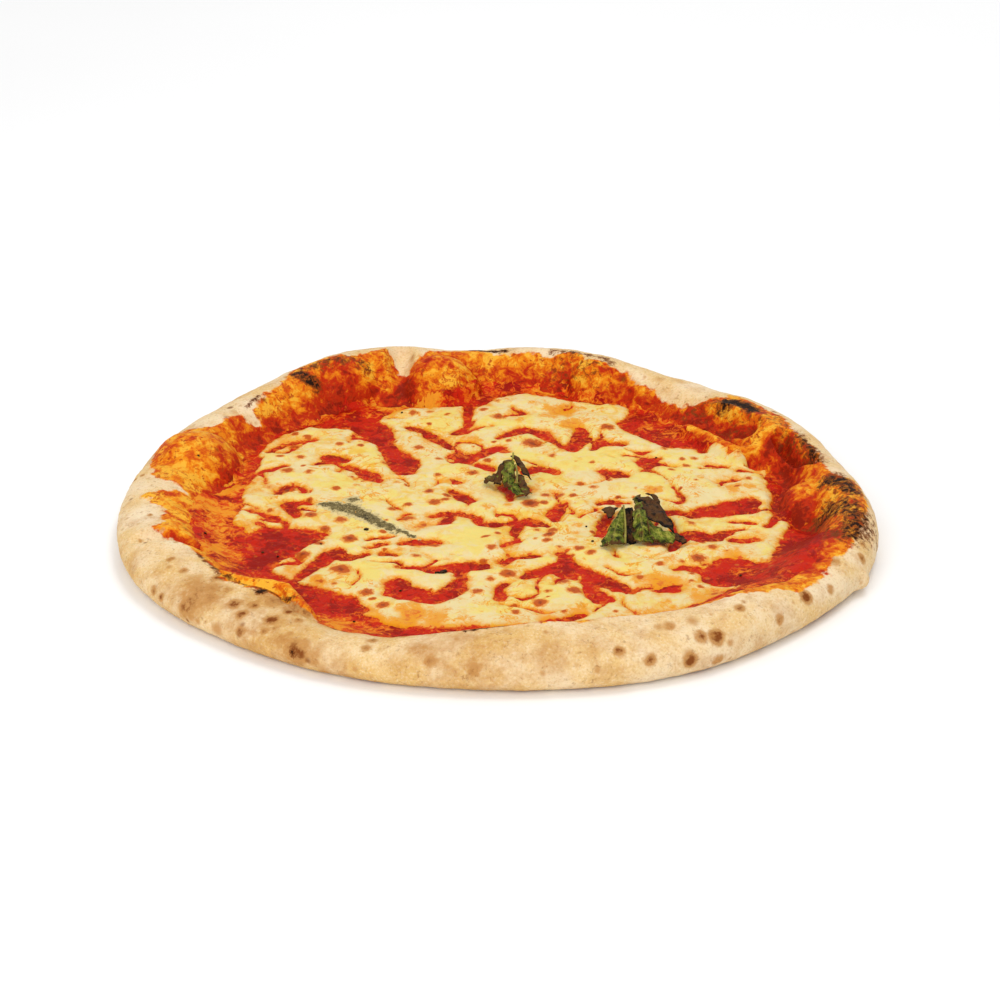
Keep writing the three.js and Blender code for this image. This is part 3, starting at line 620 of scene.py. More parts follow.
def doughFinish():
    f = Finish("baked dough", dough)
    grain, fine = f.texture["grain"], f.texture["fine"]
    gold, red, char, tan, flour, crease = (
        f.mask(name) for name in ("gold", "red", "char", "tan", "flour", "crease"))
    # the floured outside
    pale = f.blend(f.jitter(flour, "broad", 0.4), f.tone["cream"], f.tone["floury"])
    tanSpread = f.math("MULTIPLY", tan, f.step(fine, 0.25, 0.75, 0.55, 1.45))
    pale = f.paint(
        pale, ("floury", grain, 0.5, 0.72, 0.55), ("tan", grain, 0.48, 0.3, 0.3),
        ("tan", f.texture["patches"], 0.47, 0.7, 0.45),
        ("tan", tanSpread, 0.03, 0.6, 0.9), ("brown", tanSpread, 0.6, 1.2, 0.9))
    for tone, *speck in dough["outsideSpecks"]:
        pale = f.dots(pale, tone, *speck)
    # the oiled inside goes from golden to red, with thin dark lines curling over it
    warmth = f.jitter(f.jitter(red, "warmPlaces", 0.45), "warmSpots", 0.46, 0.32, 0.68)
    # the blistered skin's ridges come out yellower and its creases redder: painted highlight on the ridges
    # and painted shade in the creases
    warmth = f.math("SUBTRACT", warmth, f.math("MULTIPLY", crease, 0.1))
    oiled = f.paint(
        f.tone["yellow"], ("gold", warmth, -0.35, 0.1, 1), ("amber", warmth, 0.1, 0.5, 1),
        ("red", warmth, 0.45, 0.9, 1), ("wine", warmth, 0.95, 1.5, 0.8))
    curls = f.step(f.ridge("curls"), 0.045, 0.01), f.step(f.texture["curlPlaces"], 0.5, 0.62)
    flecks = f.step(f.texture["flecks"], 0.57, 0.64), f.step(f.texture["fleckPlaces"], 0.4, 0.55)
    for marks, places in (curls, flecks):
        marks = f.math("MULTIPLY", f.math("MULTIPLY", marks, places), 0.8)
        oiled = f.blend(marks, oiled, f.tone["rust"])
    oiled = f.dots(oiled, "brown", 7, 0.25, 0.13, 0.75)
    color = f.blend(f.step(f.jitter(gold, "fine", 0.3), 0.25, 0.75), pale, oiled)
    # burnt places
    broken = f.step(f.texture["broken"], 0.3, 0.7, 1.25, 0)
    streaked = f.math("SUBTRACT", f.math("MULTIPLY", char, 1.3), broken)
    color = f.paint(color, ("brown", streaked, -0.35, 0.35, 0.85), ("black", streaked, 0.25, 0.85, 1))
    smoother = f.math("MULTIPLY", gold, dough["oiledSmoother"])
    return f.finish(color, f.math("SUBTRACT", dough["roughness"], smoother))


# the sauce: a sheet that thins out up the rim, lumpy with pulp

sauce = {
    "depth": 1.45,
    "thinning": 8,  # from its ragged edge to full depth
    "tucked": 0.35,  # how far its edge sinks into the dough
    "pulp": 0.36,
    "pulpSize": 3.4,
    "seeds": 0.14,
    "seedSize": 1.3,
    "sunk": 1.2,  # how far its underside lies in the dough
    "turns": 760,
    "rings": 104,
    "ragged": [(2.4, 3, 8), (1.2, 5, 2.6)],  # height, level and size
    "climb": 10,  # the height that it reaches on the rim
    "climbFront": 5,  # how much higher at the front right
    "hem": 2.5,  # how far the sheet runs on past the rim's line of sauce
    "underMiddle": 0.3,
    "underShares": (0.62, 0.985),  # where its underside has rings close together, to follow the rim
    "underSteps": 13,
    "oil": {"edge": 0.75, "fades": 28, "uneven": 0.5, "size": 15},  # orange from its edge inwards
    "dark": {"base": 0.35, "uneven": 0.8, "size": 12},
    "roughness": (0.35, 0.55),
    "bumps": [("fine", 0.22, 0.8), ("pulp", 0.5, 0.7)],  # texture, height in millimetres and strength
    "stains": [  # x, y, radius and strength of orange oil on it
        (-56, -102, 12, 0.7), (-44, -106, 9, 0.8), (92, -57, 7, 1.2), (-109, -4, 16, 1.15),
        (-108, -24, 13, 1.1), (-104, -42, 12, 1), (-110, 18, 12, 1.15), (-98, -56, 9, 0.7),
        (-90, -64, 6, 0.5), (-12, 112, 6, 0.6), (20, 117, 8, 0.6), (66, 12, 8, 0.6), (96, -62, 5, 0.8),
        (108, -74, 5, 0.5), (-84, 92, 8, 0.7), (63, 78, 6, 0.9), (75, 72, 6, 0.4), (95, 12, 5, 0.6),
        (-104, 40, 10, 0.7), (38, -79, 4, 0.5), (-96, 62, 8, 0.6), (72, -90, 7, 0.5), (24, -100, 8, 0.7),
        (-47, 103, 8, 1), (-30, 106, 9, 1.1), (-53, 93, 6, 0.7), (40, 112, 7, 0.8), (55, 103, 6, 0.7)],
    "deepAndShadedPlaces": [  # x, y, radius and strength of dark sauce; the first two are partly painted shade in the creases along the rim
        (117, -40, 12, 0.9), (112, 6, 8, 0.7), (117, 34, 10, 0.8), (-84, -40, 8, 0.6), (-90, -52, 8, 0.6),
        (104, 68, 8, 0.5), (78, 74, 9, 0.6)],
    "colours": {
        "red": (192, 32, 8),
        "deep": (146, 18, 4),
        "orange": (220, 96, 12),
        "gold": (230, 148, 36),
        "seed": (228, 140, 46),
    },
    "textures": {  # size, detail, roughness and distortion
        "fine": (1.6, 5, 0.7),
        "pulp": (4, 5, 0.7, 1),
        "oil": (3.2, 5, 0.75, 1),
    },
    "shine": {"Subsurface Weight": 0.04, "Subsurface Scale": 0.0015, "Specular IOR Level": 0.05},
}


def sauceCover(x, y, height):  # 1 under the full depth of sauce, 0 where the dough is bare
    angle = np.arctan2(y, x)
    inside = rimAt("reach", angle) - rimAt("sauce", angle) - np.hypot(x, y)
    ragged = waves(x, y, 0, sauce["ragged"])
    limit = sauce["climb"] + sauce["climbFront"] * softStep(-10, -40, y) * softStep(50, 90, x)
    low = softStep(limit + 1.5, limit - 2, height + 0.8 * ragged)
    return softStep(0, sauce["thinning"], inside + ragged) * low


def sauceTop(x, y, fine=True):
    base = doughHeight(x, y)
    full = sauceCover(x, y, base)
    height = base - sauce["tucked"] + (sauce["depth"] + sauce["tucked"]) * full
    if fine:
        lumps = sauce["pulp"] * roughNoise(x, y, 9, sauce["pulpSize"], 2)
        height = height + full * (lumps + sauce["seeds"] * noise(x, y, 1, sauce["seedSize"]))
    return height


def makeSauce(material):
    turns = sauce["turns"]
    angle = np.linspace(0, 2 * math.pi, turns, endpoint=False)[:, None]
    edge = rimAt("reach", angle) - rimAt("sauce", angle) + sauce["hem"]
    below = np.append(sauce["underMiddle"], np.linspace(*sauce["underShares"], sauce["underSteps"]))[None, :]
    above = 1 - (np.arange(sauce["rings"]) / sauce["rings"])[None, :] ** 0.9
    radius = np.concatenate([edge * below, edge * above], 1)
    x, y = radius * np.cos(angle), radius * np.sin(angle)
    z = sauceTop(x, y)
    lower = below.shape[1]
    z[:, :lower] = np.maximum(doughHeight(x[:, :lower], y[:, :lower]) - sauce["sunk"], 0.2)
    inwards = edge - radius
    oil, dark = sauce["oil"], sauce["dark"]
    orange = oil["edge"] - inwards / oil["fades"] + oil["uneven"] * roughNoise(x, y, 6, oil["size"])
    orange = orange + nearPatch(sauce["stains"], x, y)
    deep = dark["base"] + dark["uneven"] * roughNoise(x, y, 2, dark["size"])
    masks = {
        "orange": np.clip(orange - nearPatch(dough["redPatches"], x, y), 0, 1.8),
        "deep": np.clip(deep + nearPatch(sauce["deepAndShadedPlaces"], x, y), 0, 1.3),
        "greasy": softStep(-5, 0.5, cheeseField(x, y)),
    }
    points = np.concatenate([np.stack([x, y, z], -1).reshape(-1, 3), [
        [0, 0, dough["discTop"] - sauce["sunk"]], [0, 0, dough["discTop"] + sauce["depth"]]]])
    allMasks = {name: np.append(values.reshape(-1), [0, 0.5]) for name, values in masks.items()}
    makePiece(
        "sauce_sheet", points, turnedFaces(turns, radius.shape[1]), allMasks, material,
        ["tomato_sauce"])


def sauceFinish():
    f = Finish("tomato sauce", sauce)
    orange, deep, greasy = (f.mask(name) for name in ("orange", "deep", "greasy"))
    spread = f.jitter(f.math("MAXIMUM", orange, f.math("MULTIPLY", greasy, 0.45)), "oil", 0.75)
    color = f.paint(
        f.tone["red"], ("deep", f.jitter(deep, "pulp", 0.6), 0.1, 0.8, 1),
        ("orange", spread, 0.4, 0.9, 0.9), ("gold", spread, 0.95, 1.45, 0.9))
    color = f.dots(color, "seed", 4, 0.14, 0.2, 0.35)
    color = f.dots(color, "deep", 6, 0.2, 0.14, 0.8)
    return f.finish(color, f.step(f.texture["fine"], 0.2, 0.8, *sauce["roughness"]))


# the mozzarella: one lattice over the sauce, open where the sauce shows through

cheese = {
    "step": 0.84,
    "latticeHalf": 124,
    "slide": 0.45,  # how far a corner may move to the edge, in steps
    "sunk": 0.55,  # how far its underside lies in the sauce
    "blisterRise": 0.12,
    "depth": 1.2,
    "edgeRamp": 4.4,  # from its edge to full depth
    "tucked": 0.2,
    "lumps": 0.5,
    "lumpLayers": [(0.7, 51, 9), (0.5, 14, 21), (0.3, 3, 3.6)],  # height, level and size
    "thinLoss": 0.45,  # the share of its depth that thin places lack
    "inwardRise": 0.25,
    "wavyX": [(0.7, 21, 8), (0.6, 23, 3.4)],  # how its lines waver sideways: height, level and size
    "wavyY": [(0.9, 27, 8), (0.8, 29, 3.4)],
    "ragged": 1.2,
    "raggedSize": 6,
    "raggedStreaks": 0.45,
    "crackSize": 14,  # of the lumps between its small cracks
    "crackWidth": 1.3,
    "crackPlaces": 19,  # size of the areas with and without cracks
    "upRim": 16,  # how far past the rim's foot it may go
    "creaminess": {"base": 0.4, "uneven": 0.6, "size": 22, "inThin": 0.6, "inButter": 0.6},
    "roughness": (0.36, 0.52),
    "bumps": [("fine", 0.15, 0.7), ("curdle", 0.25, 0.6)],  # texture, height in millimetres and strength
    "scatter": {  # the small blisters between the main ones
        "seed": 23, "count": 260, "tries": 3120, "reach": 112, "gap": 4.6,
        "smallShare": 0.8, "small": (0.9, 2.1), "large": (2, 2.9),  # radius
        "strength": (0.45, 1.1), "narrow": (0.55, 1), "turn": (0, 3.1)},
    "edge": [
        [-105, -13], [-103, -3], [-102, 6], [-104, 11], [-102, 21], [-99, 31], [-99, 44], [-98, 57],
        [-95, 67], [-90, 72], [-85, 76], [-80, 79], [-74, 78], [-65, 78], [-55, 81], [-48, 92], [-42, 98],
        [-34, 100], [-20, 102], [-11, 102], [-6, 104], [-1, 110], [5, 115], [12, 116], [20, 114], [29, 110],
        [35, 107], [45, 105], [52, 106], [58, 99], [58, 93], [54, 86], [52, 79], [55, 75], [63, 67],
        [68, 61], [74, 58], [80, 58], [85, 53], [89, 54], [93, 51], [97, 46], [101, 43], [105, 40],
        [109, 39.5], [111.5, 38.5], [112, 35], [110, 31], [110, 24], [112, 12], [110, 2], [109, -5],
        [112, -12], [116, -13], [116, -18], [112, -26], [109, -36], [106, -47], [104, -52], [100, -51],
        [96, -48], [90, -46], [85, -47], [81, -54], [77, -60], [79, -68], [87, -72], [92, -75], [86, -82],
        [79, -86], [70, -89], [58, -94], [44, -98], [20, -102], [0, -103], [-26, -104], [-36, -103],
        [-42, -99], [-45, -96], [-50, -94], [-47, -89], [-52, -82], [-59, -77], [-64, -73], [-72, -69],
        [-77, -66], [-84, -60], [-86, -56], [-80, -46], [-75, -38], [-71, -32], [-66, -26], [-68, -23],
        [-74, -21], [-84, -20], [-91, -20], [-95, -24], [-98, -25], [-101, -19]],
    "openStreaks": [  # lines of x, y and half width where the sauce lies open
        [[-63, 87, 6], [-55, 80, 7], [-50, 70, 6.5], [-47, 60, 3.2], [-43, 50, 4.2], [-38, 41, 6.4],
         [-38, 33, 3.6]],
        [[-37, 79, 1.4], [-30, 73, 2.2], [-26, 66, 2.6], [-22, 62, 2], [-19, 57, 1]],
        [[-18, 48, 2], [-12.5, 45, 3.6], [-10, 49, 3], [-4, 54, 2.6], [1, 57, 2.6], [4, 53, 1.2]],
        [[-8, 40, 1.4], [-3, 36, 2.4]],
        [[-12.5, 106, 1.6], [-12.4, 93, 1.8], [-13, 83, 1.5], [-13.7, 76, 0.7]],
        [[0, 67, 0.8], [5, 72, 2], [10, 75.5, 2.6], [15, 75.5, 2.6], [19.5, 72, 2.8], [23, 65.5, 2],
         [26.5, 60, 1.2], [31, 58, 1.6]],
        [[32, 57, 2.4], [34, 63, 3.2], [35.5, 73, 3], [35, 77, 1.8]],
        [[34, 63, 3], [38, 67, 1.8]],
        [[40, 56, 0.9], [43, 60.5, 1.6], [47.5, 61.5, 2], [52, 61, 1.8]],
        [[12, 33, 2.4], [18, 36, 3], [24, 32, 1.5]],
        [[2, 19, 1.6], [5, 13, 2], [5, 6, 1.3]],
        [[-18, 14, 0.8], [-14, 9, 2.6], [-11, 5, 1.8]],
        [[44.5, 33, 2], [49, 30, 3.6], [53, 29, 1.8]],
        [[-95, 53, 0.7], [-89, 61, 1], [-83, 63, 1.1], [-76, 67, 0.8]],
        [[-97, 33, 0.9], [-92, 36, 1.2], [-87, 39, 1]],
        [[-70, 47, 3], [-64, 45, 2.6]],
        [[-61.5, 38, 2.2], [-59, 36, 2.2]],
        [[-55, 33, 2.6], [-51, 28, 3.6], [-48, 25, 1.6]],
        [[-88, 12, 0.8], [-86, 18, 1], [-81, 20, 1], [-78, 14, 0.8]],
        [[-83, 2, 2.8], [-81, -4, 2.2], [-80, -9, 1]],
        [[-81, 2, 1.6], [-75, 3, 1.5]],
        [[-93, -12, 0.8], [-87, -14, 1.2]],
        [[-26, -10, 0.7], [-21, -7, 1.6], [-15.5, -7, 1.8], [-10.5, -9.5, 1.5], [-8, -12, 2],
         [-6.5, -15.5, 1.6], [-1.4, -17.5, 1.2], [4, -16.5, 1.3], [8, -15.5, 2.4], [12, -14.5, 3],
         [17, -16.5, 2], [19.5, -18, 0.8]],
        [[8, -17, 2.6], [7.7, -22, 2.4], [7.5, -26, 1]],
        [[26.5, 2.5, 1.2], [25, -1, 2.2], [23.3, -5, 3.2], [22.3, -8.5, 3], [23.3, -13, 1.3]],
        [[-37, -33.5, 1.4], [-31.5, -33, 2], [-26, -32.5, 1.8], [-22.5, -33, 1]],
        [[-36, -54.5, 0.8], [-29.5, -55.5, 1.5], [-23, -56.5, 3.4], [-16.4, -55, 4], [-10, -54, 4],
         [-4.5, -54, 1.8]],
        [[-14, -57, 4], [-13.8, -61.5, 2]],
        [[-38, -67.5, 4], [-36, -75, 5.5], [-30, -77, 5.2], [-24, -80.5, 4.8], [-18.5, -77.5, 4.4],
         [-15, -71, 3.5], [-13, -65, 1.8]],
        [[1, -50, 0.7], [6, -47.5, 1.1], [11.5, -45.5, 1.3], [16, -45, 0.8]],
        [[10.5, -63, 1.2], [13.7, -59.5, 2.6], [18.7, -57.5, 3.4], [23.7, -55, 4], [27, -51.5, 4],
         [26.3, -46, 2.8], [23.7, -43, 1.3]],
        [[27, -55, 3.6], [26.2, -60, 3.6], [29, -63, 1.8]],
        [[28, -54, 3], [33.6, -59, 3], [37.3, -63, 3.6], [41.5, -68.5, 4], [46, -72, 3.4],
         [50, -75.5, 1.4]],
        [[34.5, -62, 2.6], [35.7, -75, 3.2], [38.5, -81, 3.4], [41, -81.5, 2.6]],
        [[4, -68.5, 1], [1.8, -72.7, 1.4], [1.2, -81, 2]],
        [[18, -99.5, 1.1], [23, -98, 1.5], [27, -97, 1.5], [32, -94, 1.2]],
        [[-76, -66, 1.2], [-72, -59, 2], [-68.5, -53, 2.8], [-65, -46.5, 4], [-61, -42, 3]],
        [[-63, -46, 3], [-56.5, -46, 2.6], [-53, -45.3, 1.5], [-50, -43, 0.7]],
        [[-75, -73, 4], [-70, -78, 6], [-65.5, -80.5, 6.5], [-60.5, -82, 6], [-55.5, -84, 4.4],
         [-51.5, -86.5, 2.2]],
        [[-66, -87, 5], [-62, -90, 4]],
        [[-50, -31, 0.5], [-44, -29, 0.8], [-40, -27.5, 0.4]],
        [[-49, -37.5, 0.8], [-43, -34, 0.7]],
        [[-43.5, -43, 1.8], [-39, -43.5, 1.5]],
        [[57, 87, 1.6], [64, 88, 2], [70, 84, 3]],
        [[59, 76, 0.9], [64.5, 71.5, 1.6], [70, 66, 1.6]],
        [[53, 49.5, 0.5], [58.5, 48.5, 0.8]],
        [[87, 39, 0.8], [94, 38.5, 0.8]],
        [[99, 35, 0.6], [104, 34, 0.8], [108, 33.5, 0.7]],
        [[64.5, -7, 2], [70.8, -6, 2.4], [76.8, -8, 2.4], [82, -6, 4.4], [87.5, -5, 5.2], [93, -2, 6.4],
         [98, 0, 6.6], [100, 3, 5]],
        [[92, -15.5, 0.8], [98, -16, 1], [101, -15.5, 0.7]],
        [[67.5, -40, 1.3], [71, -31, 3.4], [74.5, -27, 3.6], [79.5, -28, 4], [84.5, -29.5, 3],
         [88.7, -25.5, 2.2], [92.6, -23, 1.2], [96.6, -21.5, 0.7]],
        [[91, -31, 1], [97, -31, 1.3], [101, -30, 0.9]],
        [[67.5, -56, 0.8], [72, -55, 1.4], [77, -57, 2.2]],
        [[61, -74, 1.4], [65, -73, 3.2], [67, -70, 1.4]],
        [[116, -8, 2], [110, -12, 1.4], [106.5, -18, 0.9]],
        [[41, 2, 1.1], [46, 3.5, 1.6], [52, 3, 0.9]],
        [[44, -9, 1.8], [41.5, -18, 2], [39.5, -27, 2]],
    ],
    "wholePlaces": [(61, -42, 15), (-12, -31, 12), (-58, -6, 12)],  # x, y and radius, without cracks
    "oilStains": [  # x, y, radius and strength of orange oil
        (62, 13, 5.5, 1.2), (-11, 63, 6, 0.9), (28, 97, 8, 1), (22, 90, 5, 0.8), (37, 85, 4, 0.8),
        (15, 103, 4, 0.7), (-4, 102, 4, 0.7), (5, 108, 4, 0.5), (7, 96, 3.4, 0.7), (10, 86, 3, 0.7),
        (-22, 23, 4, 0.7), (-16, 26, 2.6, 0.6), (-2, 30, 3, 0.6), (18, 21, 4, 0.6), (31, 80, 8, 1.1),
        (-30, -93, 9, 1.2), (-22, -97, 7, 0.9), (-36, -101, 6, 1), (62, -68, 9, 1.1), (54, -66, 5, 0.8),
        (66, -50, 4, 0.7), (90, -43, 6, 0.8), (-79, -58, 4, 0.9), (-66, -67, 5, 1), (32, -20, 3, 0.9),
        (31, -26, 2.4, 0.7), (-4, -2, 4, 0.7), (5, 0, 2.4, 0.9), (83, 26, 3, 0.8), (79, 18, 3, 0.7),
        (95, 15, 6, 1), (102, 17, 4, 0.8), (46, 97, 5, 0.5), (30, -92, 7, 0.8), (20, -96, 6, 0.6),
        (-12, -99, 6, 0.6), (5, -97, 6, 0.5), (76, -80, 7, 0.8), (62, -88, 6, 0.5), (-46, -91, 5, 0.8),
        (-45, -99, 5, 1.1), (34, 45, 3, 0.4), (75, -38, 5, 0.5), (-92, 30, 4, 0.5), (-88, -6, 4, 0.6),
        (-97, 12, 5, 0.6), (-72, 70, 5, 0.4), (-90, 66, 4, 0.6), (-45, 95, 5, 0.9), (58, 80, 5, 0.9),
        (64, 77, 3, 0.5), (88, 46, 4, 0.5), (107, 36, 3, 0.6), (108, 15, 4, 0.5), (-26, -46, 4, 0.4),
        (-19, -35, 3, 0.4), (7, -66, 3, 0.6), (30, -33, 4, 0.6), (20, -33, 3, 0.6), (-40, 58, 3, 0.7),
        (-55, 62, 4, 0.8)],
    "butterLumps": [  # x, y, radius and strength of thick yellow places
        (-12, -31, 14, 1), (-18, 38, 8, 0.9), (60, 28, 10, 0.6), (76, 34, 12, 0.8), (14, -78, 12, 0.9),
        (10, 48, 8, 0.7), (-62, 22, 12, 0.8), (-50, -62, 8, 0.5), (52, -50, 7, 0.7), (34, 42, 9, 0.6),
        (-45, 8, 10, 0.7), (0, -88, 9, 0.6), (-20, 92, 7, 0.5), (60, 62, 9, 0.5), (78, -14, 6, 0.3)],
    "thinSpots": [  # x, y, radius and strength of places with little mozzarella
        (-93, 20, 16, 0.55), (-90, 60, 12, 0.8), (-98, -18, 8, 1), (-76, -60, 8, 0.6), (-5, 20, 12, 0.4),
        (20, 12, 10, 0.5), (-4, 108, 8, 0.6), (28, 97, 10, 0.9), (95, 22, 10, 0.5), (84, -16, 10, 0.5),
        (64, -70, 12, 1), (-28, -94, 12, 1), (15, -98, 10, 0.6), (50, -94, 10, 0.6), (30, -30, 9, 0.6),
        (78, -80, 10, 0.8), (-30, 58, 10, 0.5), (-45, 92, 8, 0.9), (95, -38, 10, 0.6), (-48, -100, 8, 1),
        (105, -30, 8, 0.4), (36, 14, 9, 0.5)],
    "mainBlisters": [  # x, y, radius and strength
        (14.7, 60, 4.4, 0.95), (13.4, 1, 3.4, 1.15), (61, -37, 3.8, 1.05), (0.5, 88.5, 3, 0.9),
        (-6, 96.5, 2, 0.8), (-86, 33, 2.8, 0.8), (-77, 31.5, 2.2, 0.7), (-80, 68, 2, 0.8),
        (-85.5, 71, 1.8, 0.9), (-91, 51.5, 2, 0.6), (-66, 59, 1.8, 0.8), (-98, 47, 1.6, 0.7),
        (-84.5, 15.5, 3.4, 1.1), (-65, 14, 2, 0.9), (-90, -5, 1.6, 0.8), (-73.8, -10, 2.6, 0.9),
        (-61.5, -15, 2.8, 0.8), (-57, -32, 3, 1), (-69, -35, 2, 0.9), (-74.5, -45.5, 3, 1),
        (-59, -58.5, 3.8, 0.95), (-48.5, -77.5, 2.8, 0.9), (-41.8, -87.5, 2.6, 0.9), (-38, -54.5, 1.8, 0.7),
        (-35.5, -1, 2, 0.8), (-41.5, -4, 2, 0.8), (-36, -12, 2.8, 0.8), (-25, 1.5, 2.6, 0.9),
        (-10, 30, 2.4, 0.9), (-34, -12, 2.4, 0.6), (-2, -39.5, 2.2, 0.8), (4.3, -61.8, 3.2, 0.9),
        (-2.6, -66, 2, 0.7), (-7.3, -77, 2.4, 0.8), (12.4, -81, 2.4, 0.9), (16, -85.8, 2.6, 1),
        (29, -76, 3, 0.9), (19, -76.5, 1.6, 0.7), (25, -68, 2.8, 0.8), (7, -93, 2, 0.8), (36, -44, 2, 0.9),
        (31.7, -40, 2.2, 0.9), (21.6, -23.5, 2.2, 0.9), (15.7, -23, 1.6, 0.6), (-31, -47, 2, 0.7),
        (25, 10, 2, 0.9), (30.5, 8, 1.8, 0.9), (19.5, 9.5, 2, 0.9), (47, 77, 3, 0.95), (64.5, 43, 2.4, 0.9),
        (70, 55, 2, 0.6), (81.5, 44.5, 1.8, 0.7), (50, 103, 2.2, 0.6), (77, -48.5, 3.2, 0.95),
        (83, -39.5, 2.2, 0.8), (102, 25, 2, 0.7), (23, 48, 2.4, 0.6), (-33, 56, 2.4, 0.8),
        (-24, 44, 1.8, 0.6), (-29, 94, 2, 0.6), (-36, 92, 2.6, 0.7), (62, -54, 2, 0.8), (54, -65, 2.4, 0.7),
        (34, 20, 2, 0.8), (39, 16, 2, 0.7)],
    "leafVeil": {"x": 63, "y": -41.5, "wide": 11, "deep": 4.5, "lift": 1.3},  # over the big leaf's edge
    "colours": {
        "butter": (229, 206, 112),
        "milk": (226, 206, 150),
        "film": (226, 178, 98),
        "oil": (226, 148, 8),
        "stain": (206, 74, 12),
        "haze": (227, 172, 34),
        "halo": (222, 142, 40),
        "blister": (186, 78, 2),
        "blisterCore": (124, 40, 2),
    },
    "textures": {  # size, detail, roughness and distortion
        "cloud": (5, 5, 0.65, 0.8),
        "fine": (1.4, 4, 0.65),
        "curdle": (2.6, 5, 0.7, 1),
        "haze": (8, 5, 0.75, 1),
        "hazePlaces": (30, 2),
        "oilLines": (13, 4, 0.6, 1.5),
        "linePlaces": (24, 2),
    },
    "shine": {"Subsurface Weight": 0.08, "Subsurface Scale": 0.0012, "Specular IOR Level": 0.1},
}


cheeseCurve = closedCurve(cheese["edge"], 3)


def cheeseField(x, y):  # how far inside the mozzarella a point is, below zero over open sauce
    wavyX = waves(x, y, 0, cheese["wavyX"], x)
    wavyY = waves(x, y, 0, cheese["wavyY"], y)
    ragged = cheese["ragged"] * roughNoise(x, y, 8, cheese["raggedSize"])
    field = insideBy(cheeseCurve, wavyX, wavyY) + ragged
    for path in cheese["openStreaks"]:
        away, half = nearPath(path, wavyX, wavyY)
        field = np.minimum(field, away - half + cheese["raggedStreaks"] * ragged)
    # small cracks between the lumps, wider in some places than in others
    crack = np.abs(noise(wavyX, wavyY, 90, cheese["crackSize"])) * cheese["crackSize"]
    present = noise(x, y, 95, cheese["crackPlaces"])
    for spotX, spotY, radius in cheese["wholePlaces"]:
        present = present - softStep(1.2, 0.8, np.hypot(x - spotX, y - spotY) / radius)
    field = np.minimum(field, crack + 8 * softStep(0.12, -0.12, present) - cheese["crackWidth"] * present)
    angle = np.arctan2(y, x)
    return np.minimum(field, rimAt("reach", angle) - rimAt("foot", angle) + cheese["upRim"] - np.hypot(x, y))


def cheeseRise(field, x, y):
    edge = np.clip(field / (cheese["edgeRamp"] * (1 + 0.5 * noise(x, y, 33, 12))), 0, 1)
    rounded = 1 - (1 - edge) ** 2
    lumps = waves(x, y, 0, cheese["lumpLayers"])
    veil = cheese["leafVeil"]
    away = np.hypot((x - veil["x"]) / veil["wide"], (y - veil["y"]) / veil["deep"])
    thick = cheese["depth"] * (1 - cheese["thinLoss"] * thinAreas(x, y)) + cheese["lumps"] * lumps
    thick = thick + cheese["inwardRise"] * softStep(2, 9, field) + veil["lift"] * np.clip(1.2 - away, 0, 1)
    return thick * rounded - cheese["tucked"] * (1 - softStep(0, 0.8, field))


def thinAreas(x, y):  # 1 where only a film of mozzarella is left
    thin = np.zeros(np.shape(x))
    for spotX, spotY, radius, strength in cheese["thinSpots"]:
        away = np.hypot(x - spotX, y - spotY) / radius + 0.4 * noise(x, y, 44, 9)
        thin = np.maximum(thin, strength * softStep(1.25, 0.3, away))
    return thin


def cheeseTop(x, y):
    return sauceTop(x, y, fine=False) + cheeseRise(cheeseField(x, y), x, y)


def scatterBlisters():
    scatter = cheese["scatter"]
    draw = np.random.default_rng(scatter["seed"])
    placed = [list(blister) + [1, 0] for blister in cheese["mainBlisters"]]
    for _ in range(scatter["tries"]):
        if len(placed) >= scatter["count"]:
            break
        x, y = draw.uniform(-scatter["reach"], scatter["reach"], 2)
        if all(math.hypot(x - other[0], y - other[1]) > scatter["gap"] for other in placed):
            size = "small" if draw.random() < scatter["smallShare"] else "large"
            shape = [draw.uniform(*scatter[name]) for name in (size, "strength", "narrow", "turn")]
            placed.append([x, y] + shape)
    return placed


def blisterMask(placed, x, y):
    best = np.zeros(np.shape(x))
    for spotX, spotY, radius, strength, narrow, turn in placed:
        near = np.abs(x - spotX) + np.abs(y - spotY) < radius * 3
        dx, dy = x[near] - spotX, y[near] - spotY
        along = dx * math.cos(turn) + dy * math.sin(turn)
        across = (dy * math.cos(turn) - dx * math.sin(turn)) / narrow
        away = np.hypot(along, across) / radius + 0.25 * noise(x[near], y[near], 2, 2)
        best[near] = np.maximum(best[near], strength * np.clip(1.58 - away, 0, 1.5))
    return best


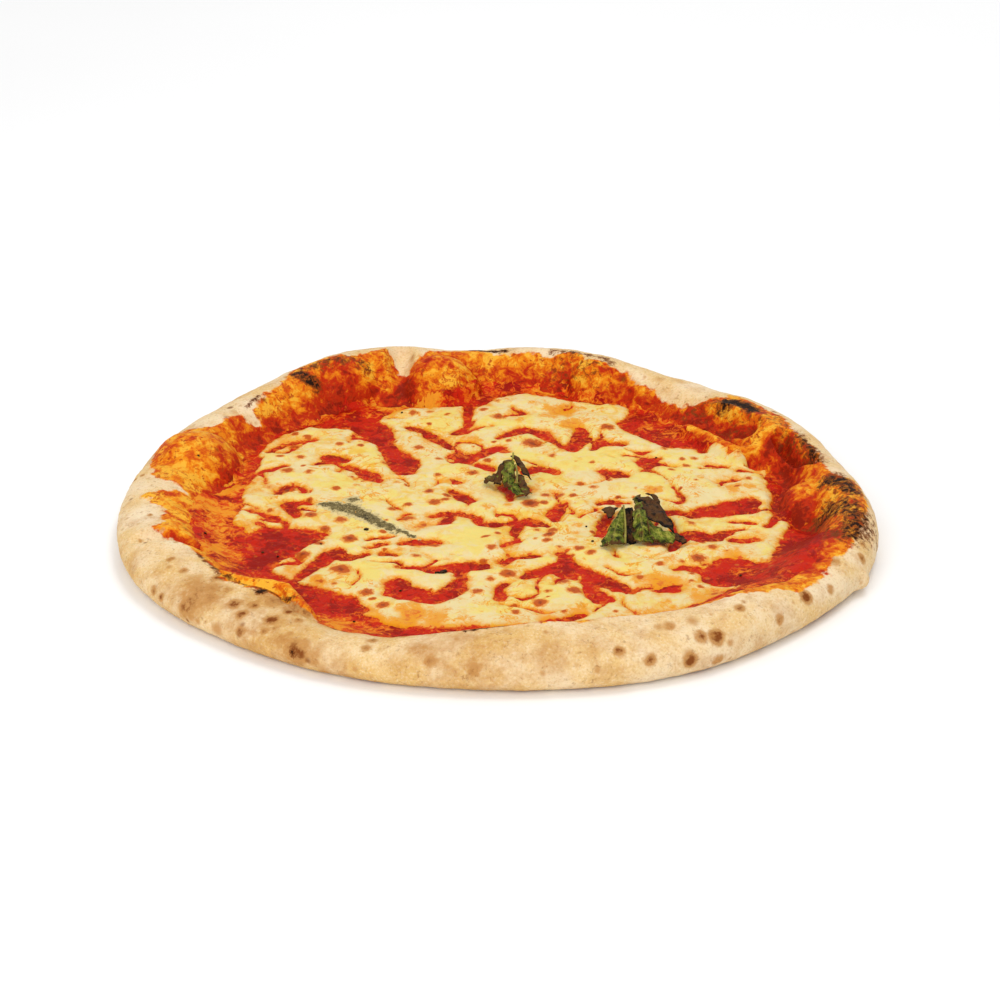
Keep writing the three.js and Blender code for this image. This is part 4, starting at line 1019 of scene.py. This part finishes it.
def makeCheese(material):
    step = cheese["step"]
    side = np.arange(-cheese["latticeHalf"], cheese["latticeHalf"] + step, step)
    x, y = np.meshgrid(side, side, indexing="ij")
    field = cheeseField(x, y)
    corners = (field[:-1, :-1] + field[1:, :-1] + field[1:, 1:] + field[:-1, 1:]) / 4
    kept = corners > 0
    # no two squares may meet at a corner only
    for _ in range(4):
        padded = np.pad(kept, 1)
        diagonal = padded[:-1, :-1] & padded[1:, 1:] & ~padded[1:, :-1] & ~padded[:-1, 1:]
        other = padded[1:, :-1] & padded[:-1, 1:] & ~padded[:-1, :-1] & ~padded[1:, 1:]
        spots = np.argwhere(diagonal | other)
        if not len(spots):
            break
        for i, j in spots:
            kept[min(i, kept.shape[0] - 1), min(j, kept.shape[1] - 1)] = False
            kept[max(i - 1, 0), max(j - 1, 0)] = False
    # corners on the edge slide on to the line where the mozzarella ends
    count = np.pad(kept, 1).astype(int)
    touching = count[:-1, :-1] + count[1:, :-1] + count[:-1, 1:] + count[1:, 1:]
    onEdge = (touching > 0) & (touching < 4)
    edgeX, edgeY, slide = x[onEdge], y[onEdge], cheese["slide"] * step
    for _ in range(3):
        here = cheeseField(edgeX, edgeY)
        slopeX = (cheeseField(edgeX + 0.1, edgeY) - here) / 0.1
        slopeY = (cheeseField(edgeX, edgeY + 0.1) - here) / 0.1
        steep = np.maximum(slopeX ** 2 + slopeY ** 2, 0.5)
        edgeX, edgeY = edgeX - here * slopeX / steep, edgeY - here * slopeY / steep
        edgeX = np.clip(edgeX, x[onEdge] - slide, x[onEdge] + slide)
        edgeY = np.clip(edgeY, y[onEdge] - slide, y[onEdge] + slide)
    x[onEdge], y[onEdge] = edgeX, edgeY
    field = np.where(onEdge, 0, np.maximum(cheeseField(x, y), 0))
    blisters = blisterMask(scatterBlisters(), x, y)
    floor = sauceTop(x, y, fine=False)
    top = floor + cheeseRise(field, x, y) + cheese["blisterRise"] * blisters * softStep(0.5, 2, field)
    used = touching > 0
    places = np.full(x.shape, -1)
    places[used] = np.arange(used.sum())
    total = int(used.sum())
    above = latticeFaces(places, kept)
    walls = []
    padded = np.pad(kept, 1)
    sides = (  # the neighbour's place, and the corners where the wall starts and ends
        (0, 1, (0, 1), (0, 0)), (2, 1, (1, 0), (1, 1)), (1, 0, (0, 0), (1, 0)), (1, 2, (1, 1), (0, 1)))
    for i, j, start, end in sides:
        cells = np.argwhere(kept & ~padded[i:i + kept.shape[0], j:j + kept.shape[1]])
        first = places[cells[:, 0] + start[0], cells[:, 1] + start[1]]
        last = places[cells[:, 0] + end[0], cells[:, 1] + end[1]]
        walls.append(np.stack([last, first, first + total, last + total], -1))
    below = above[:, ::-1] + total
    faces = above.tolist() + below.tolist() + np.concatenate(walls).tolist()
    upper = np.stack([x[used], y[used], top[used]], -1)
    lower = np.stack([x[used], y[used], floor[used] - cheese["sunk"]], -1)
    cream = cheese["creaminess"]
    thick = cream["base"] + cream["uneven"] * roughNoise(x[used], y[used], 31, cream["size"])
    thick = thick - cream["inThin"] * thinAreas(x, y)[used]
    thick = thick + cream["inButter"] * nearPatch(cheese["butterLumps"], x[used], y[used])
    masks = {
        "body": (top - floor)[used] / cheese["depth"],
        "blister": blisters[used],
        "oil": nearPatch(cheese["oilStains"], x[used], y[used]),
        "thick": np.clip(thick, 0, 1.2),
    }
    doubled = {name: np.concatenate([values, values]) for name, values in masks.items()}
    makePiece(
        "mozzarella_melt", np.concatenate([upper, lower]), faces, doubled, material,
        ["mozzarella"])


def cheeseFinish():
    f = Finish("melted mozzarella", cheese)
    body, blister, oil, thick = (f.mask(name) for name in ("body", "blister", "oil", "thick"))
    cover = f.math("ADD", f.jitter(body, "curdle", 0.32, 0.25, 0.75), f.math("MULTIPLY", thick, 0.2))
    color = f.paint(
        f.tone["milk"], ("butter", f.jitter(thick, "cloud", 0.5), 0.1, 0.95, 1),
        # thin mozzarella lets the sauce through
        ("film", cover, 1, 0.5, 0.8), ("oil", cover, 0.7, 0.35, 0.75), ("stain", cover, 0.38, 0.06, 0.95))
    places = f.step(f.texture["hazePlaces"], 0.4, 0.6, 0.3, 1)
    haze = f.math("MULTIPLY", f.step(f.texture["haze"], 0.47, 0.64), places)
    color = f.blend(f.math("MULTIPLY", haze, 0.7), color, f.tone["haze"])
    # thin lines of oil run through it
    places = f.step(f.texture["linePlaces"], 0.46, 0.6)
    veins = f.math("MULTIPLY", f.step(f.ridge("oilLines"), 0.035, 0.006), places)
    oily = f.jitter(f.math("MAXIMUM", oil, f.math("MULTIPLY", veins, 0.8)), "curdle", 0.4)
    marks = f.jitter(blister, "fine", 0.16)
    color = f.paint(
        color, ("oil", oily, 0.25, 0.85, 0.9), ("stain", oily, 1, 1.5, 0.7),
        ("halo", marks, 0.22, 0.5, 0.8), ("blister", marks, 0.52, 0.78, 0.95),
        ("blisterCore", marks, 1, 1.4, 0.8))
    return f.finish(color, f.step(f.texture["cloud"], 0.2, 0.8, *cheese["roughness"]))


# basil: a crumpled leaf is a few bent sheets, each between a left and a right edge

basil = {  # what the crumpled leaves share
    "sheetSteps": (44, 32),  # along a sheet and across it
    "foldSizes": (3.6, 1.7),  # of the large and the small folds
    "smallFolds": 0.6,
    "toothDepth": 0.06,
    "toothCount": 19,
    "branchSize": 4.5,
    "branchHeight": 0.3,
    "burntEdge": 0.45,
    "burntUneven": 0.35,
    "roughness": 0.5,
    "bumps": [("skin", 0.35, 1)],  # texture, height in millimetres and strength
    "colours": {
        "green": (94, 104, 28),
        "deepGreen": (34, 38, 12),
        "pale": (156, 160, 62),
        "straw": (168, 150, 76),
        "burnt": (84, 50, 26),
        "black": (20, 14, 8),
    },
    "textures": {  # size, detail, roughness and distortion
        "patches": (3.2, 4, 0.7, 0.8),
        "streaks": (1.6, 5, 0.75, 1.5),
        "scorch": (2, 4, 0.7),
        "skin": (0.8, 3),
    },
    "shine": {"Specular IOR Level": 0.08},
}
wiltedLeaf = {
    "thickness": 0.35,
    "crumple": 0.85,
    "sheets": [  # the edges' points run from the stem side to the tip side
        {"left": [(48.6, -21.5, 13.8), (44.8, -30, 11.6), (41, -37.5, 8.8), (39.6, -41.5, 7.3)],
         "right": [(49.4, -21.8, 14), (49.6, -28, 12.3), (49.5, -34, 10), (49, -39.8, 7.4)],
         "bulge": 1.2, "burnt": 0.12, "vein": 1},
        {"left": [(49.4, -19.5, 13.2), (49.9, -27, 11), (50, -33, 9), (49.8, -38.5, 7.3)],
         "right": [(53, -19.5, 13.4), (53.2, -28, 11.4), (53.4, -33, 9.2), (54, -37.2, 7.3)],
         "bulge": -0.8, "burnt": 1.1, "vein": 0.2},
        {"left": [(52.8, -23.5, 14), (53, -29, 12.2), (52.8, -34, 10), (52.5, -37.5, 7.6)],
         "right": [(57.8, -23, 15), (58.6, -30, 12.6), (59.8, -35, 10), (60, -39, 7.5)],
         "bulge": 1.6, "burnt": 0.1, "vein": 1},
        {"left": [(54.2, -14.6, 15), (55.8, -19, 15.2), (57, -25, 14.8), (58.6, -29.5, 13.2)],
         "right": [(60.1, -13.5, 15), (64.2, -18.2, 13.5), (66.6, -25, 12), (69.6, -34.5, 8.9)],
         "bulge": 1, "burnt": 1, "vein": 0.3},
        {"left": [(57.6, -27.5, 13.1), (61, -31, 11.6), (65, -33.6, 10.2), (69.9, -35.2, 8.4)],
         "right": [(58.8, -37, 9.3), (61.4, -39, 8.1), (64.4, -39.6, 7.5), (67.8, -39, 7.3)],
         "bulge": 0.9, "burnt": 0.2, "vein": 1},
        {"left": [(66.8, -36, 8.8), (69, -37.2, 8), (70.6, -38.4, 7.4), (71.4, -39.4, 7)],
         "right": [(69.4, -33.4, 9.2), (71.6, -35, 9), (72.8, -36.6, 8.2), (73.2, -38, 7.4)],
         "bulge": 0.6, "burnt": 1, "vein": 0},
        {"left": [(53.4, -12.8, 13.6), (53.7, -15.5, 14.8), (54, -19, 14.4), (53.6, -23, 13.6)],
         "right": [(56.4, -12.4, 15.6), (57, -15.5, 15), (57.2, -19, 14.8), (57.4, -23.4, 14.2)],
         "bulge": 0.8, "burnt": 0.35, "vein": 0.6},
        {"left": [(58.4, -12.2, 16), (60, -13.4, 15.8), (61.4, -15, 15.2), (62, -17, 14)],
         "right": [(60.6, -11.4, 15.6), (62.4, -12.6, 15.6), (63.6, -14.4, 14.8), (64, -17, 13.4)],
         "bulge": 0.5, "burnt": 1.1, "vein": 0},
        {"left": [(41.4, -8.4, 7.7), (42, -11.5, 8.4), (43, -14, 8), (43.6, -16, 7.4)],
         "right": [(47.6, -7.4, 7.8), (47.6, -10, 8.8), (46, -13, 8.4), (45, -16, 7.5)],
         "bulge": 0.7, "burnt": 0.85, "vein": 0},
    ],
    "stems": [[(49.4, -20.4, 14.8), (49.7, -28, 13), (49.7, -34, 10.8), (49.4, -39.6, 8)]],
    "stemRadius": 0.42,
}
curledLeaf = {
    "thickness": 0.3,
    "crumple": 0.7,
    "sheets": [
        {"left": [(2.4, 24, 13.4), (2, 19.5, 11.6), (2.2, 15, 9.6), (2.8, 11.5, 7.7)],
         "right": [(7, 24.4, 14), (7.4, 19.5, 12), (7.2, 14, 9.8), (7.2, 9.6, 7.6)],
         "bulge": 1.5, "burnt": 0.28, "vein": 1},
        {"left": [(5.4, 27.4, 14.8), (7.2, 25, 13.8), (9, 21.5, 12.4), (10.6, 18, 10.8)],
         "right": [(7.6, 28.2, 14.2), (10.4, 25, 12.8), (12.4, 21, 11), (14, 17, 8.8)],
         "bulge": 0.7, "burnt": 0.95, "vein": 0.2},
        {"left": [(8, 17.5, 10.6), (8.6, 12, 9), (9.6, 8, 8), (11.4, 4.2, 7.5)],
         "right": [(10.8, 17.5, 10), (11.8, 12, 9), (13, 9, 8), (14, 6, 7.5)],
         "bulge": 0.8, "burnt": 0.75, "vein": 0.4},
        {"left": [(3.6, 12.4, 8.4), (5, 9.6, 7.8), (6.4, 7.4, 7.4), (8, 5.4, 7.2)],
         "right": [(8.2, 13.4, 9), (9.4, 9.8, 8.2), (10.4, 7, 7.7), (11.4, 5, 7.3)],
         "bulge": 0.8, "burnt": 0, "vein": 0.8},
        {"left": [(1, 21.8, 13.4), (-0.2, 19, 11), (-1, 17, 9.2), (-1.4, 15, 7.8)],
         "right": [(3, 24, 13.8), (2.4, 19, 11), (1.8, 16, 9), (1.4, 14, 7.8)],
         "bulge": 0.4, "burnt": 0.9, "vein": 0.2},
        {"left": [(-5, 20.6, 7.9), (-3, 20.6, 9), (-1, 20, 10), (1, 19.4, 11)],
         "right": [(-5.4, 17, 7.4), (-2.6, 16.6, 8), (-0.4, 16, 8.6), (1.6, 15.4, 9.2)],
         "bulge": 0.6, "burnt": 0.6, "vein": 0.2},
    ],
    "stems": [
        [(6.2, 24.5, 14.4), (6.5, 26, 15.2), (6.6, 27.2, 16.2)],
        [(7.6, 22, 13.4), (8.2, 17, 11.6), (8, 12, 9.4)]],
    "stemRadius": 0.4,
}
sunkenLeaf = {
    "thickness": 0.22,
    "spine": [[-70, -0.6, 2.2], [-65, -2.4, 5], [-59, -5.4, 5.8], [-52, -11.6, 4.6], [-44, -20, 3.2],
              [-37, -25.6, 1.6], [-29.5, -31, 0.2]],
    "sideBump": {"x": -57.5, "y": 3, "radius": 4},
    "crumple": 0.3,
    "rise": 0.25,
    "sink": 0.12,
    "step": 0.45,
    "fromLeft": (-78, -24),  # the lattice that it is cut from
    "fromFront": (-36, 12),
    "ragged": [(1.1, 71, 3), (1.2, 73, 1.4)],  # height, level and size
    "strandSize": 2.4,
    "roughness": 0.55,
    "bumps": [("skin", 0.4, 1)],  # texture, height in millimetres and strength
    "darkPlace": {"x": -53, "y": -13.5, "radius": 5.5, "strength": 0.7},
    "colours": {
        "olive": (138, 120, 74),
        "strand": (48, 40, 20),
        "black": (20, 14, 8),
        "veil": (220, 198, 140),
    },
    "textures": {  # size, detail, roughness and distortion
        "strands": (0.9, 5, 0.8, 2),
        "fine": (1.3, 4, 0.65),
        "veil": (1.3, 5, 0.8, 1.5),
        "skin": (0.9, 4, 0.7),
    },
    "shine": {"Specular IOR Level": 0.05},
}


def smoothEdge(corners, count):
    corners = np.array(corners, float)
    place = np.linspace(0, len(corners) - 1, count)
    return np.stack([np.interp(place, np.arange(len(corners)), corners[:, axis]) for axis in range(3)], -1)


def leafSheet(sheet, crumple, seed):
    lengthSteps, widthSteps = basil["sheetSteps"]
    left = smoothEdge(sheet["left"], lengthSteps)[:, None, :]
    right = smoothEdge(sheet["right"], lengthSteps)[:, None, :]
    across = np.linspace(0, 1, widthSteps)[None, :, None]
    along = np.linspace(0, 1, lengthSteps)[:, None, None]
    teeth = basil["toothDepth"] * np.sin(basil["toothCount"] * along + seed * 3)
    jag = teeth * (np.abs(across - 0.5) * 2) ** 3
    points = mix(left, right, across + jag)
    normal = np.cross(right - left, np.gradient(left, axis=0))
    normal /= np.maximum(np.linalg.norm(normal, axis=2), 1e-6)[..., None]
    normal = np.where(normal[..., 2:] < 0, -normal, normal)
    swell = sheet["bulge"] * np.sin(math.pi * across) * (0.6 + 0.4 * np.sin(math.pi * along))
    px, py = points[..., 0], points[..., 1]
    large, small = basil["foldSizes"]
    folds = noise(px, py, seed * 7.3, large) + basil["smallFolds"] * noise(px, py, seed * 3.1, small)
    branches = np.abs(noise(px, py, seed * 5.1, basil["branchSize"]))
    ribs = basil["branchHeight"] * sheet["vein"] * softStep(0.3, 0, branches)
    points = points + normal * (swell[..., 0] + crumple * folds + ribs)[..., None]
    outwards = np.maximum(np.abs(across - 0.5) * 2, np.abs(along - 0.5) * 2)[..., 0]
    burnt = sheet["burnt"] + basil["burntEdge"] * softStep(0.72, 1, outwards)
    burnt = burnt + basil["burntUneven"] * noise(px, py, seed, 3)
    vein = 0.5 * sheet["vein"] * softStep(0.14, 0.02, branches)
    vein = np.maximum(vein, sheet["vein"] * softStep(0.05, 0.01, np.abs(across - 0.5))[..., 0])
    return points, burnt, vein


def stemTube(path, radius, sides=8, steps=14):
    line = smoothEdge(path, steps)
    heading = np.gradient(line, axis=0)
    heading /= np.linalg.norm(heading, axis=1)[:, None]
    sideways = np.cross(heading, [0.3, 1, 0.1])
    sideways /= np.linalg.norm(sideways, axis=1)[:, None]
    upwards = np.cross(heading, sideways)
    turn = np.linspace(0, 2 * math.pi, sides, endpoint=False)[None, :, None]
    ring = sideways[:, None, :] * np.cos(turn) + upwards[:, None, :] * np.sin(turn)
    points = line[:, None, :] + radius * ring
    place = np.arange(steps * sides).reshape(steps, sides)
    after = np.roll(place, -1, 1)
    faces = np.stack([place[:-1], after[:-1], after[1:], place[1:]], -1).reshape(-1, 4).tolist()
    return points.reshape(-1, 3), faces + [place[0][::-1].tolist(), place[-1].tolist()]


def makeCrumpledLeaf(name, leaf, material, node):
    points, faces, burnt, vein = [], [], [], []
    count = 0
    for number, sheet in enumerate(leaf["sheets"]):
        grid, burntHere, veinHere = leafSheet(sheet, leaf["crumple"], number + 1)
        faces += sheetFaces(*grid.shape[:2], count).tolist()
        points.append(grid.reshape(-1, 3))
        burnt.append(burntHere.reshape(-1))
        vein.append(veinHere.reshape(-1))
        count += grid.shape[0] * grid.shape[1]
    points = np.concatenate(points)
    points[:, 2] = np.maximum(points[:, 2], cheeseTop(points[:, 0], points[:, 1]) - 0.6)
    masks = {"burnt": np.concatenate(burnt), "vein": np.concatenate(vein)}
    piece = makePiece(name, points, faces, masks, material, [node])
    thicken(piece, leaf["thickness"])
    stemPoints, stemFaces = [], []
    for path in leaf["stems"]:
        tube, tubeFaces = stemTube(path, leaf["stemRadius"])
        offset = sum(len(part) for part in stemPoints)
        stemFaces += [[corner + offset for corner in face] for face in tubeFaces]
        stemPoints.append(tube)
    stemPoints = np.concatenate(stemPoints)
    masks = {"burnt": np.zeros(len(stemPoints)), "vein": np.full(len(stemPoints), 1.6)}
    makePiece(name + "_ribs", stemPoints, stemFaces, masks, material, [])


def makeSunkenLeaf(material):
    sides = (np.arange(*sunkenLeaf[name], sunkenLeaf["step"]) for name in ("fromLeft", "fromFront"))
    x, y = np.meshgrid(*sides, indexing="ij")
    distance, half = nearPath(sunkenLeaf["spine"], x, y)
    ragged = waves(x, y, 0, sunkenLeaf["ragged"])
    inside = half - distance + ragged
    bump = sunkenLeaf["sideBump"]
    inside = np.maximum(inside, bump["radius"] - np.hypot(x - bump["x"], y - bump["y"]) + ragged)
    kept = (inside[:-1, :-1] + inside[1:, 1:] + inside[1:, :-1] + inside[:-1, 1:]) / 4 > 0
    touched = np.zeros(x.shape, bool)
    for i, j in ((0, 0), (1, 0), (0, 1), (1, 1)):
        touched[i:i + kept.shape[0], j:j + kept.shape[1]] |= kept
    places = np.full(x.shape, -1)
    places[touched] = np.arange(touched.sum())
    faces = latticeFaces(places, kept)
    strands = np.abs(noise(x, y * 1.3, 81, sunkenLeaf["strandSize"]))
    z = cheeseTop(x, y) + sunkenLeaf["rise"] * softStep(-0.4, 1.4, inside) - sunkenLeaf["sink"]
    z = z + sunkenLeaf["crumple"] * (noise(x, y, 75, 2.6) + 0.5 * strands) * softStep(0, 1.5, inside)
    points = np.stack([x[touched], y[touched], z[touched]], -1)
    place = sunkenLeaf["darkPlace"]
    dark = softStep(place["radius"], 1, np.hypot(x - place["x"], y - place["y"])) * place["strength"]
    masks = {"burnt": (dark + 0.3 * strands)[touched],
             "vein": (1.2 * softStep(0.6, 0, inside / np.maximum(half, 1)))[touched]}
    piece = makePiece(
        "basil_sunken_leaf", points, faces.tolist(), masks, material, ["basil_leaf_sunken"])
    thicken(piece, sunkenLeaf["thickness"])


def basilFinish():
    f = Finish("basil leaf", basil)
    patches, streaks = f.texture["patches"], f.texture["streaks"]
    color = f.paint(
        f.tone["deepGreen"], ("green", patches, 0.38, 0.5, 1), ("pale", patches, 0.5, 0.66, 1),
        ("deepGreen", streaks, 0.5, 0.38, 0.7))
    color = f.blend(f.math("MULTIPLY", f.mask("vein"), 0.36), color, f.tone["straw"])
    scorch = f.jitter(f.mask("burnt"), "scorch", 0.35)
    color = f.paint(color, ("burnt", scorch, 0.35, 0.7, 0.95), ("black", scorch, 0.95, 1.4, 1))
    return f.finish(color, basil["roughness"])


def sunkenFinish():
    f = Finish("sunken basil", sunkenLeaf)
    color = f.paint(
        f.tone["strand"], ("olive", f.texture["strands"], 0.4, 0.6, 1),
        ("black", f.jitter(f.mask("burnt"), "fine", 0.3), 0.35, 0.95, 0.85),
        ("veil", f.jitter(f.mask("vein"), "veil", 0.6), 0, 0.9, 0.95))
    return f.finish(color, sunkenLeaf["roughness"])


flakes = {  # bits of burnt herb: x, y and size
    "places": [
        (-21.5, -60.5, 2.6), (-20, -58.6, 1.9), (-51, -24, 1.3), (-113, -31, 0.7), (-90, -42, 0.7),
        (-84, -45, 0.6), (-36, -74, 0.6), (66, 47, 0.5), (-41, 92, 0.6), (37, -35, 0.7), (-68, -36, 0.6),
        (-121, 24, 0.6), (35, -21, 0.5), (92, -62, 0.6), (-52, -99, 0.6)],
    "rows": 7,
    "lift": 0.25,
    "thickness": 0.5,
}


def makeFlakes(material):
    points, faces, rows = [], [], flakes["rows"]
    for number, (x, y, size) in enumerate(flakes["places"]):
        u, v = np.meshgrid(np.linspace(-1, 1, rows), np.linspace(-1, 1, rows), indexing="ij")
        shrink = 1 - 0.3 * (u ** 2 + v ** 2) + 0.25 * noise(u, v, number * 5.7, 0.9)
        px, py = x + size * u * shrink, y + 0.7 * size * v * shrink
        base = np.maximum(cheeseTop(px, py), sauceTop(px, py))
        pz = base + flakes["lift"] + 0.3 * size * np.abs(noise(px, py, 7, 1.1))
        faces += sheetFaces(rows, rows, number * rows * rows).tolist()
        points.append(np.stack([px, py, pz], -1).reshape(-1, 3))
    points = np.concatenate(points)
    masks = {"burnt": np.full(len(points), 1.2), "vein": np.zeros(len(points))}
    piece = makePiece("herb_flakes", points, faces, masks, material, [])
    thicken(piece, flakes["thickness"])


# camera, floor and light

studio = {
    "cameraPlace": (1.199, -951.62, 451.47),  # in millimetres, like the dough's numbers
    "cameraTarget": (1.199, 0, 7.717),
    "focalLength": 94.878,
    "sensor": 36,
    "sky": 0.67,
    "lights": {  # in metres and watts
        "key light": {"place": (0.45, 0.2, 1.5), "aim": (0, 0, 0), "power": 6.2, "size": 0.6},
        "fill light": {"place": (-0.45, -1.25, 0.8), "aim": (0, 0, 0), "power": 11.5, "size": 1.2},
        "far light": {"place": (0, 1.05, 1.2), "aim": (0, 1.05, 0), "power": 2.6, "size": 0.8},
    },
}
table = {
    "width": 9,
    "lightest": (0.95, 0.95, 0.95, 1),
    "darkest": (0.93, 0.93, 0.93, 1),
    "roughness": 0.9,
    "colours": {},
    "textures": {"cloud": (400, 2), "grain": (3, 2)},
    "bumps": [("grain", 0.01, 1)],
    "shine": {"Specular IOR Level": 0.1},
}


def makeCamera():
    data = bpy.data.cameras.new("view")
    data.lens = studio["focalLength"]
    data.sensor_width = studio["sensor"]
    data.clip_end = 50
    camera = bpy.data.objects.new("view", data)
    shift = Vector((middle[0], middle[1], 0))
    place, target = ((Vector(studio[name]) - shift) * mm for name in ("cameraPlace", "cameraTarget"))
    camera.location = place
    camera.rotation_euler = (target - place).to_track_quat("-Z", "Y").to_euler()
    bpy.context.collection.objects.link(camera)
    bpy.context.scene.camera = camera


def makeLight(name, light):
    data = bpy.data.lights.new(name, "AREA")
    data.energy = light["power"]
    data.size = light["size"]
    lamp = bpy.data.objects.new(name, data)
    place, aim = Vector(light["place"]), Vector(light["aim"])
    lamp.location = place
    lamp.rotation_euler = (aim - place).to_track_quat("-Z", "Y").to_euler()
    bpy.context.collection.objects.link(lamp)


def makeFloor():
    half = table["width"] / 2
    mesh = bpy.data.meshes.new("table_top")
    corners = [(-half, -half, 0), (half, -half, 0), (half, half, 0), (-half, half, 0)]
    mesh.from_pydata(corners, [], [(0, 1, 2, 3)])
    f = Finish("white table", table)
    tone = f.blend(f.step(f.texture["cloud"], 0.3, 0.7), table["darkest"], table["lightest"])
    mesh.materials.append(f.finish(tone, table["roughness"]))
    floor = bpy.data.objects.new("table_top", mesh)
    bpy.context.collection.objects.link(floor)


def makeStudio():
    scene = bpy.context.scene
    scene.view_settings.view_transform = "Standard"
    scene.world = bpy.data.worlds.new("white room")
    scene.world.use_nodes = True
    background = scene.world.node_tree.nodes["Background"]
    background.inputs["Color"].default_value = (1, 1, 1, 1)
    background.inputs["Strength"].default_value = studio["sky"]
    for name, light in studio["lights"].items():
        makeLight(name, light)
    makeFloor()
    makeCamera()
    print("studio ready")


makeStudio()
makeDough(doughFinish())
makeSauce(sauceFinish())
makeCheese(cheeseFinish())
leafMaterial = basilFinish()
makeCrumpledLeaf("basil_wilted_leaf", wiltedLeaf, leafMaterial, "basil_leaf_wilted")
makeCrumpledLeaf("basil_curled_leaf", curledLeaf, leafMaterial, "basil_leaf_curled")
makeSunkenLeaf(sunkenFinish())
makeFlakes(leafMaterial)
